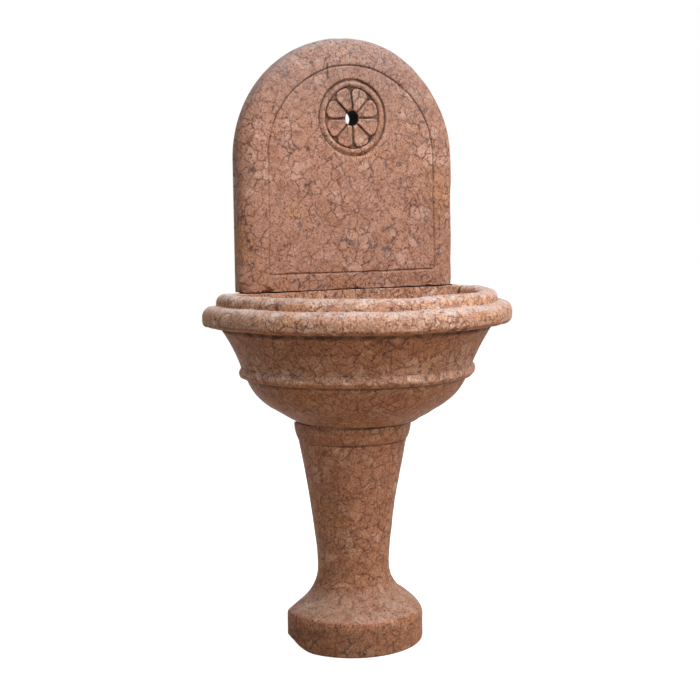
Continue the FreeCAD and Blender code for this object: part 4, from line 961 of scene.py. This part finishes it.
# under is the share of painted shade on faces that look down; bloom the share of dusting with painted light
# from above
def marble(name, look, tone, dust_and_top_light, contrast, under, bloom, dusting_and_light_foot, seam, bruising, flecks):
    """Nodular marble: a mottled ground from rose to pale with orange patches, nodules of two sizes whose
    wavy seams come and go, grey bruises, pale flecks and a fine grain, all raised to a power for contrast
    and filtered by a tone. Faces that look up are paled by a dusting together with painted light from
    above, less below the bloom's foot. The top of the slab is paler too. Dark specks in clumps lie over
    that. Faces that look down get painted shade, darker and browner. Sharp arrises are paler, rubbed wear
    together with a painted edge highlight, and hollows take grime together with painted shade."""
    nodules, pebbles = 36.0, 92.0
    halo_share, pebble_share, speck_share, wear_and_highlight_share, dirt_and_shade_share = 0.46, 0.62, 0.8, 0.6, 0.88
    dark_grain, light_grain = (0.77, 0.75, 0.73), (1.15, 1.15, 1.15)
    underside_shade_filter, worn_and_highlight_filter = (0.60, 0.425, 0.28), (1.45, 1.42, 1.40)
    stone = Recipe(name)
    slow = stone.shift(stone.place, 9.0, 0.05)
    warped = stone.shift(stone.shift(slow, 55.0, 0.014), 150.0, 0.004)
    mottle = stone.noise(warped, 40.0, 5.0, 0.64)
    patch = stone.noise(slow, 17.0, 4.0, 0.6)
    cloud = stone.noise(stone.place, 6.5, 4.0, 0.6)
    clump = stone.noise(slow, 14.0, 3.0, 0.55)
    fleck = stone.noise(stone.place, 190.0, 3.0, 0.62)
    grain = stone.noise(stone.place, 330.0, 3.0, 0.65)
    height = stone.add("ShaderNodeSeparateXYZ", {"Vector": stone.place}).outputs["Z"]
    tint = stone.sum("MULTIPLY_ADD", mottle, 0.60, stone.times(patch, 0.28))
    tint = stone.sum("MULTIPLY_ADD", stone.cells(warped, nodules), 0.12, tint)
    ground = stone.mix(stone.remap(tint, 0.33, 0.46), look.rose, look.salmon)
    ground = stone.mix(stone.remap(tint, 0.49, 0.64), ground, look.pale)
    low_down = stone.remap(height, 1.15, 1.35, 1.0, 0.1)
    ground = stone.mix(stone.times(stone.remap(cloud, 0.52, 0.68, 0.0, 0.65), low_down), ground, look.ochre)
    broken = stone.remap(stone.noise(stone.place, 120.0, 2.0), 0.36, 0.56, 0.15, 1.0)
    runs = stone.remap(stone.noise(slow, 17.0, 3.0), 0.42, 0.58, 0.42, 1.0)
    halo = stone.times(stone.seams(warped, nodules, 0.20), runs)
    core = stone.times(stone.times(stone.seams(warped, nodules, 0.068), runs), broken)
    fine = stone.times(stone.seams(warped, pebbles, 0.12), stone.remap(clump, 0.45, 0.58, 0.0, 1.0))
    bruise = stone.times(stone.remap(stone.noise(warped, 40.0, 4.0, 0.65), 0.54, 0.66),
                         stone.remap(stone.noise(slow, 10.0, 2.0), 0.50, 0.62))
    ground = stone.mix(stone.times(halo, halo_share), ground, look.rose)
    ground = stone.mix(stone.times(stone.times(fine, broken), pebble_share), ground, look.vein)
    ground = stone.mix(stone.times(bruise, bruising), ground, look.stain)
    ground = stone.mix(stone.times(core, seam), ground, look.vein)
    ground = stone.mix(stone.remap(fleck, 0.44, 0.35, 0.0, flecks), ground, look.pale)
    ground = stone.filtered(ground, stone.mix(stone.remap(grain, 0.34, 0.66), dark_grain, light_grain))
    strong = stone.add("ShaderNodeGamma", {"Color": ground, "Gamma": contrast}).outputs["Color"]
    toned = stone.filtered(strong, tone)
    normal = stone.add("ShaderNodeNewGeometry").outputs["Normal"]
    upward = stone.add("ShaderNodeSeparateXYZ", {"Vector": normal}).outputs["Z"]
    patchy = stone.remap(mottle, 0.36, 0.6, 0.35, 1.0)
    # Paler faces that look up: a dusting together with painted light from above, weaker below the foot height
    top_dusting_and_light = stone.times(stone.remap(upward, 0.25, 0.95, 0.0, bloom), patchy)
    top_dusting_and_light = stone.times(top_dusting_and_light, stone.remap(height, dusting_and_light_foot, dusting_and_light_foot + 0.08, 0.2, 1.0))
    top_dusting_and_light = stone.sum("ADD", top_dusting_and_light, stone.remap(height, 1.18, 1.42, 0.0, 0.3))
    crowded = stone.sum("MAXIMUM", stone.remap(clump, 0.58, 0.42, 0.35, 1.0), stone.remap(height, 1.24, 1.40))
    specks = stone.times(stone.remap(fleck, 0.54, 0.63), crowded)
    with_top_dusting_and_light = stone.mix(stone.times(specks, speck_share), stone.mix(top_dusting_and_light, toned, dust_and_top_light), look.vein)
    # Painted shade: faces that look down are darker and browner, by the share under
    painted_underside_shade = stone.remap(upward, -0.05, -0.55, 0.0, under)
    shaded = stone.mix(painted_underside_shade, with_top_dusting_and_light, stone.filtered(with_top_dusting_and_light, underside_shade_filter))
    # Sharp arrises paler: rubbed wear together with a painted edge highlight
    wear = stone.times(stone.attribute("wear"), wear_and_highlight_share)
    worn = stone.mix(wear, shaded, stone.filtered(shaded, worn_and_highlight_filter))
    # Hollows, joints and under edges mixed towards the near black colour: grime together with painted shade
    cover = stone.remap(stone.noise(stone.place, 34.0, 3.0), 0.3, 0.6, 0.6, 1.0)
    soil_and_shade = stone.times(stone.attribute("soil_and_shade"), cover)
    finished = stone.mix(stone.times(soil_and_shade, dirt_and_shade_share), worn, look.dirt_and_shade)
    relief = stone.sum("MULTIPLY_ADD", core, -0.5, stone.times(grain, 0.7))
    relief = stone.sum("MULTIPLY_ADD", specks, -0.6, stone.sum("MULTIPLY_ADD", mottle, 0.9, relief))
    stone.bump(relief, 0.5, 0.0012)
    rough = stone.sum("MULTIPLY_ADD", soil_and_shade, 0.4, stone.remap(grain, 0.3, 0.7, 0.54, 0.74))
    return stone.finish(Base_Color=finished, Roughness=rough, Specular_IOR_Level=0.2)


def mortar():
    """Lime mortar: grey brown sand with dark pits, kept near black and darker in patches as painted shade in
    the joint gaps.
    """
    lime = Recipe("mortar_lime")
    sand = lime.noise(lime.place, 520.0, 4.0, 0.7)
    darkening = lime.noise(lime.place, 24.0, 3.0)
    # Painted shade: the mortar is kept near black, darker in patches, so the joints read as shaded gaps
    tone = lime.mix(lime.remap(sand, 0.35, 0.65), (0.016, 0.012, 0.009), (0.070, 0.056, 0.044))
    tone = lime.mix(lime.remap(darkening, 0.40, 0.60), tone, (0.012, 0.009, 0.007))
    lime.bump(sand, 0.6, 0.001)
    return lime.finish(Base_Color=tone, Roughness=0.92)


def brass():
    """Dull brass: brown tarnish in clouds, pale green lime spots and fine drawn scratches."""
    metal = Recipe("brass_dull")
    cloud = metal.noise(metal.place, 38.0, 5.0, 0.62)
    spots = metal.remap(metal.noise(metal.place, 160.0, 4.0, 0.6), 0.58, 0.7)
    scratch = metal.noise(metal.stretched((90.0, 90.0, 1500.0)), 1.0, 2.0)
    tone = metal.mix(metal.remap(cloud, 0.38, 0.66), (0.62, 0.43, 0.17), (0.27, 0.165, 0.07))
    tone = metal.mix(metal.times(spots, 0.4), tone, (0.30, 0.42, 0.33))
    metal.bump(metal.sum("ADD", scratch, spots), 0.15, 0.0004)
    rough = metal.sum("ADD", metal.remap(cloud, 0.35, 0.7, 0.24, 0.5), metal.times(spots, 0.3))
    return metal.finish(Base_Color=tone, Metallic=metal.remap(spots, 0.0, 1.0, 1.0, 0.25), Roughness=rough)


def rubber():
    """Black rubber with a grey bloom and mould grain."""
    ring = Recipe("rubber_black")
    bloom = ring.noise(ring.place, 90.0, 4.0)
    grain = ring.noise(ring.place, 900.0, 2.0)
    ring.bump(grain, 0.2, 0.0003)
    tone = ring.mix(ring.remap(bloom, 0.4, 0.7), (0.014, 0.014, 0.015), (0.055, 0.054, 0.052))
    return ring.finish(Base_Color=tone, Roughness=ring.remap(grain, 0.3, 0.7, 0.6, 0.8))


def steel():
    """Brushed steel: fine scratches along the dowel over a faint cloud."""
    metal = Recipe("steel_dowel")
    scratch = metal.noise(metal.stretched((1200.0, 1200.0, 40.0)), 1.0, 3.0)
    cloud = metal.noise(metal.place, 60.0, 3.0)
    metal.bump(scratch, 0.12, 0.0002)
    tone = metal.mix(metal.remap(cloud, 0.35, 0.65), (0.48, 0.48, 0.47), (0.60, 0.60, 0.60))
    return metal.finish(Base_Color=tone, Metallic=1.0, Roughness=metal.remap(scratch, 0.3, 0.7, 0.26, 0.45))


def pipe_grey():
    """Grey waste pipe: matte moulded plastic, a little dusty, with a fine grain."""
    plastic = Recipe("waste_pipe_grey")
    cloud = plastic.noise(plastic.place, 30.0, 4.0)
    grain = plastic.noise(plastic.place, 700.0, 2.0)
    plastic.bump(grain, 0.15, 0.0003)
    tone = plastic.mix(plastic.remap(cloud, 0.35, 0.7), (0.20, 0.205, 0.21), (0.30, 0.30, 0.295))
    return plastic.finish(Base_Color=tone, Roughness=plastic.remap(cloud, 0.3, 0.7, 0.42, 0.6))


def dress(names, material):
    """Give CAD nodes a better material."""
    for name in names:
        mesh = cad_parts[name].data
        mesh.materials.clear()
        mesh.materials.append(material)


def stand_for(piece, node, material):
    """A carved stone takes the place of its CAD node."""
    piece.data.materials.append(material)
    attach(piece, "fountain")
    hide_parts(node)


class FOUNTAIN_OT_pedestal(Operator):
    """Carve the turned pedestal"""
    bl_idname = "fountain.pedestal"
    bl_label = "Pedestal"

    def execute(self, context):
        look = context.scene.fountain_stone
        piece = make_pedestal(context.scene.fountain_pedestal, look)
        finish = marble("marble_pedestal", look, tone=(1.12, 1.28, 1.22), dust_and_top_light=(0.72, 0.54, 0.44),
                        contrast=1.38, under=0.6, bloom=0.42, dusting_and_light_foot=-0.1,
                        seam=0.70, bruising=0.25, flecks=0.4)
        stand_for(piece, "pedestal", finish)
        return {"FINISHED"}


class FOUNTAIN_OT_basin(Operator):
    """Carve the basin with its double-roll rim"""
    bl_idname = "fountain.basin"
    bl_label = "Basin"

    def execute(self, context):
        look = context.scene.fountain_stone
        piece = make_basin(context.scene.fountain_basin, look)
        finish = marble("marble_basin", look, tone=(1.49, 2.14, 2.52), dust_and_top_light=(0.60, 0.535, 0.515),
                        contrast=1.4, under=1.0, bloom=0.6, dusting_and_light_foot=0.69,
                        seam=0.80, bruising=0.2, flecks=0.5)
        stand_for(piece, "basin", finish)
        return {"FINISHED"}


class FOUNTAIN_OT_slab(Operator):
    """Carve the arched back slab with its rosette"""
    bl_idname = "fountain.slab"
    bl_label = "Back slab"

    def execute(self, context):
        look = context.scene.fountain_stone
        piece = make_slab(context.scene.fountain_slab, look)
        finish = marble("marble_slab", look, tone=(0.96, 1.065, 1.14), dust_and_top_light=(0.30, 0.24, 0.23),
                        contrast=1.1, under=0.6, bloom=0.7, dusting_and_light_foot=0.8,
                        seam=0.92, bruising=0.80, flecks=0.1)
        stand_for(piece, "back_slab", finish)
        return {"FINISHED"}


class FOUNTAIN_OT_joints(Operator):
    """Finish the mortar beds and dowels between the stones"""
    bl_idname = "fountain.joints"
    bl_label = "Beds and dowels"

    def execute(self, context):
        dress(("basin_bed", "slab_bed"), mortar())
        dress(("basin_dowels", "slab_dowels"), steel())
        return {"FINISHED"}


class FOUNTAIN_OT_waste(Operator):
    """Finish the waste, its pipes and the lift-out overflow pipe"""
    bl_idname = "fountain.waste"
    bl_label = "Waste and overflow"

    def execute(self, context):
        dress(("drain_flange", "drain_nut", "overflow_pipe"), brass())
        dress(("drain_seal", "drain_washer", "overflow_ring"), rubber())
        dress(("waste_elbow", "outlet_pipe"), pipe_grey())
        return {"FINISHED"}


def floor_paper():
    """Pale studio paper that takes the fountain's shadow, with a faint fibre."""
    paper = Recipe("floor_paper")
    glow = 0.92
    fibre = paper.remap(paper.noise(paper.place, 300.0, 2.0), 0.3, 0.7)
    tone = paper.mix(fibre, (0.44, 0.44, 0.44), (0.46, 0.46, 0.46))
    rays = paper.add("ShaderNodeLightPath").outputs
    seen = paper.sum("MAXIMUM", rays["Is Camera Ray"], rays["Is Glossy Ray"])
    seen = paper.sum("MAXIMUM", seen, rays["Is Transmission Ray"])
    return paper.finish(Base_Color=tone, Roughness=0.9, Specular_IOR_Level=0.0,
                        Emission_Color=(1.0, 1.0, 1.0), Emission_Strength=paper.times(seen, glow))


def white_room(scene, strength):
    """Even light from all round, seen as white paper behind the fountain."""
    world = bpy.data.worlds.new("studio")
    world.use_nodes = True
    scene.world = world
    tree = world.node_tree
    rays = tree.nodes.new("ShaderNodeLightPath").outputs
    level = tree.nodes["Background"].inputs["Strength"]
    seen = rays["Is Camera Ray"]
    for name in ("Is Glossy Ray", "Is Transmission Ray"):
        either = tree.nodes.new("ShaderNodeMath")
        either.operation = "MAXIMUM"
        tree.links.new(seen, either.inputs[0])
        tree.links.new(rays[name], either.inputs[1])
        seen = either.outputs[0]
    share = tree.nodes.new("ShaderNodeMapRange")
    share.inputs["To Min"].default_value = strength
    share.inputs["To Max"].default_value = 1.0
    tree.links.new(seen, share.inputs["Value"])
    tree.links.new(share.outputs["Result"], level)
    tree.nodes["Background"].inputs["Color"].default_value = (1, 1, 1, 1)


def soft_light(scene, name, place, aim, size, energy):
    """A square soft light that looks from a place to a height above the middle of the floor."""
    lamp = bpy.data.lights.new(name, "AREA")
    lamp.size = size
    lamp.energy = energy
    light = bpy.data.objects.new(name, lamp)
    light.location = place
    light.rotation_euler = (Vector((0, 0, aim)) - Vector(place)).to_track_quat("-Z", "Y").to_euler()
    scene.collection.objects.link(light)


class FOUNTAIN_OT_stage(Operator):
    """Set up the floor, the light and the camera"""
    bl_idname = "fountain.stage"
    bl_label = "Studio"

    def execute(self, context):
        scene = context.scene
        studio = scene.fountain_studio
        mesh = bpy.data.meshes.new("studio_floor")
        reach = 14.0
        corners = [(-reach, -reach, 0), (reach, -reach, 0), (reach, reach, 0), (-reach, reach, 0)]
        mesh.from_pydata(corners, [], [(0, 1, 2, 3)])
        mesh.materials.append(floor_paper())
        floor = bpy.data.objects.new("studio_floor", mesh)
        scene.collection.objects.link(floor)
        white_room(scene, studio.sky)
        soft_light(scene, "key", place=(1.7, -2.3, 2.9), aim=0.85, size=1.6, energy=studio.key_power)
        soft_light(scene, "top", place=(0.3, -0.9, 3.6), aim=0.8, size=2.6, energy=studio.top_power)
        soft_light(scene, "fill", place=(0.4, -3.2, 0.7), aim=0.5, size=1.6, energy=studio.fill_power)
        soft_light(scene, "left", place=(-1.3, -2.6, 2.6), aim=0.7, size=1.6, energy=studio.left_power)
        soft_light(scene, "back", place=(0.6, 2.8, 1.3), aim=0.7, size=1.8, energy=studio.back_power)
        camera = bpy.data.objects.new("camera", bpy.data.cameras.new("camera"))
        camera.data.lens = studio.lens
        camera.data.sensor_width = SENSOR
        turn = Matrix.Rotation(-studio.camera_yaw, 4, "Z")
        tilt = Matrix.Rotation(math.pi / 2 - studio.camera_pitch, 4, "X")
        roll = Matrix.Rotation(studio.camera_roll, 4, "Z")
        camera.matrix_world = Matrix.Translation(studio.camera_place) @ turn @ tilt @ roll
        scene.collection.objects.link(camera)
        scene.camera = camera
        scene.view_settings.view_transform = "Standard"
        return {"FINISHED"}


class FOUNTAIN_PT_sidebar(Panel):
    """Makers of the fountain's pieces"""
    bl_label = "Fountain"
    bl_idname = "FOUNTAIN_PT_sidebar"
    bl_space_type = "VIEW_3D"
    bl_region_type = "UI"
    bl_category = "Fountain"

    def draw(self, context):
        for maker in MAKERS:
            self.layout.operator(maker.bl_idname)
        for name in GROUPS:
            group = getattr(context.scene, name)
            column = self.layout.column()
            for key in group.__annotations__:
                column.prop(group, key)


GROUPS = {
    "fountain_pedestal": PedestalSizes,
    "fountain_basin": BasinSizes,
    "fountain_slab": SlabSizes,
    "fountain_stone": StoneLook,
    "fountain_studio": StudioLook,
}
MAKERS = (FOUNTAIN_OT_pedestal, FOUNTAIN_OT_basin, FOUNTAIN_OT_slab, FOUNTAIN_OT_joints, FOUNTAIN_OT_waste,
          FOUNTAIN_OT_stage)


def register():
    """Make the classes known and hang their values on the scene."""
    for kind in (*GROUPS.values(), *MAKERS, FOUNTAIN_PT_sidebar):
        bpy.utils.register_class(kind)
    for name, kind in GROUPS.items():
        setattr(bpy.types.Scene, name, PointerProperty(type=kind))


def unregister():
    """Take the values and classes away again."""
    for name in GROUPS:
        delattr(bpy.types.Scene, name)
    for kind in reversed((*GROUPS.values(), *MAKERS, FOUNTAIN_PT_sidebar)):
        bpy.utils.unregister_class(kind)


def main():
    """Build the whole fountain."""
    register()
    bpy.ops.fountain.pedestal()
    bpy.ops.fountain.basin()
    bpy.ops.fountain.slab()
    bpy.ops.fountain.joints()
    bpy.ops.fountain.waste()
    bpy.ops.fountain.stage()
    bpy.context.view_layer.update()


if __name__ == "__main__":
    main()
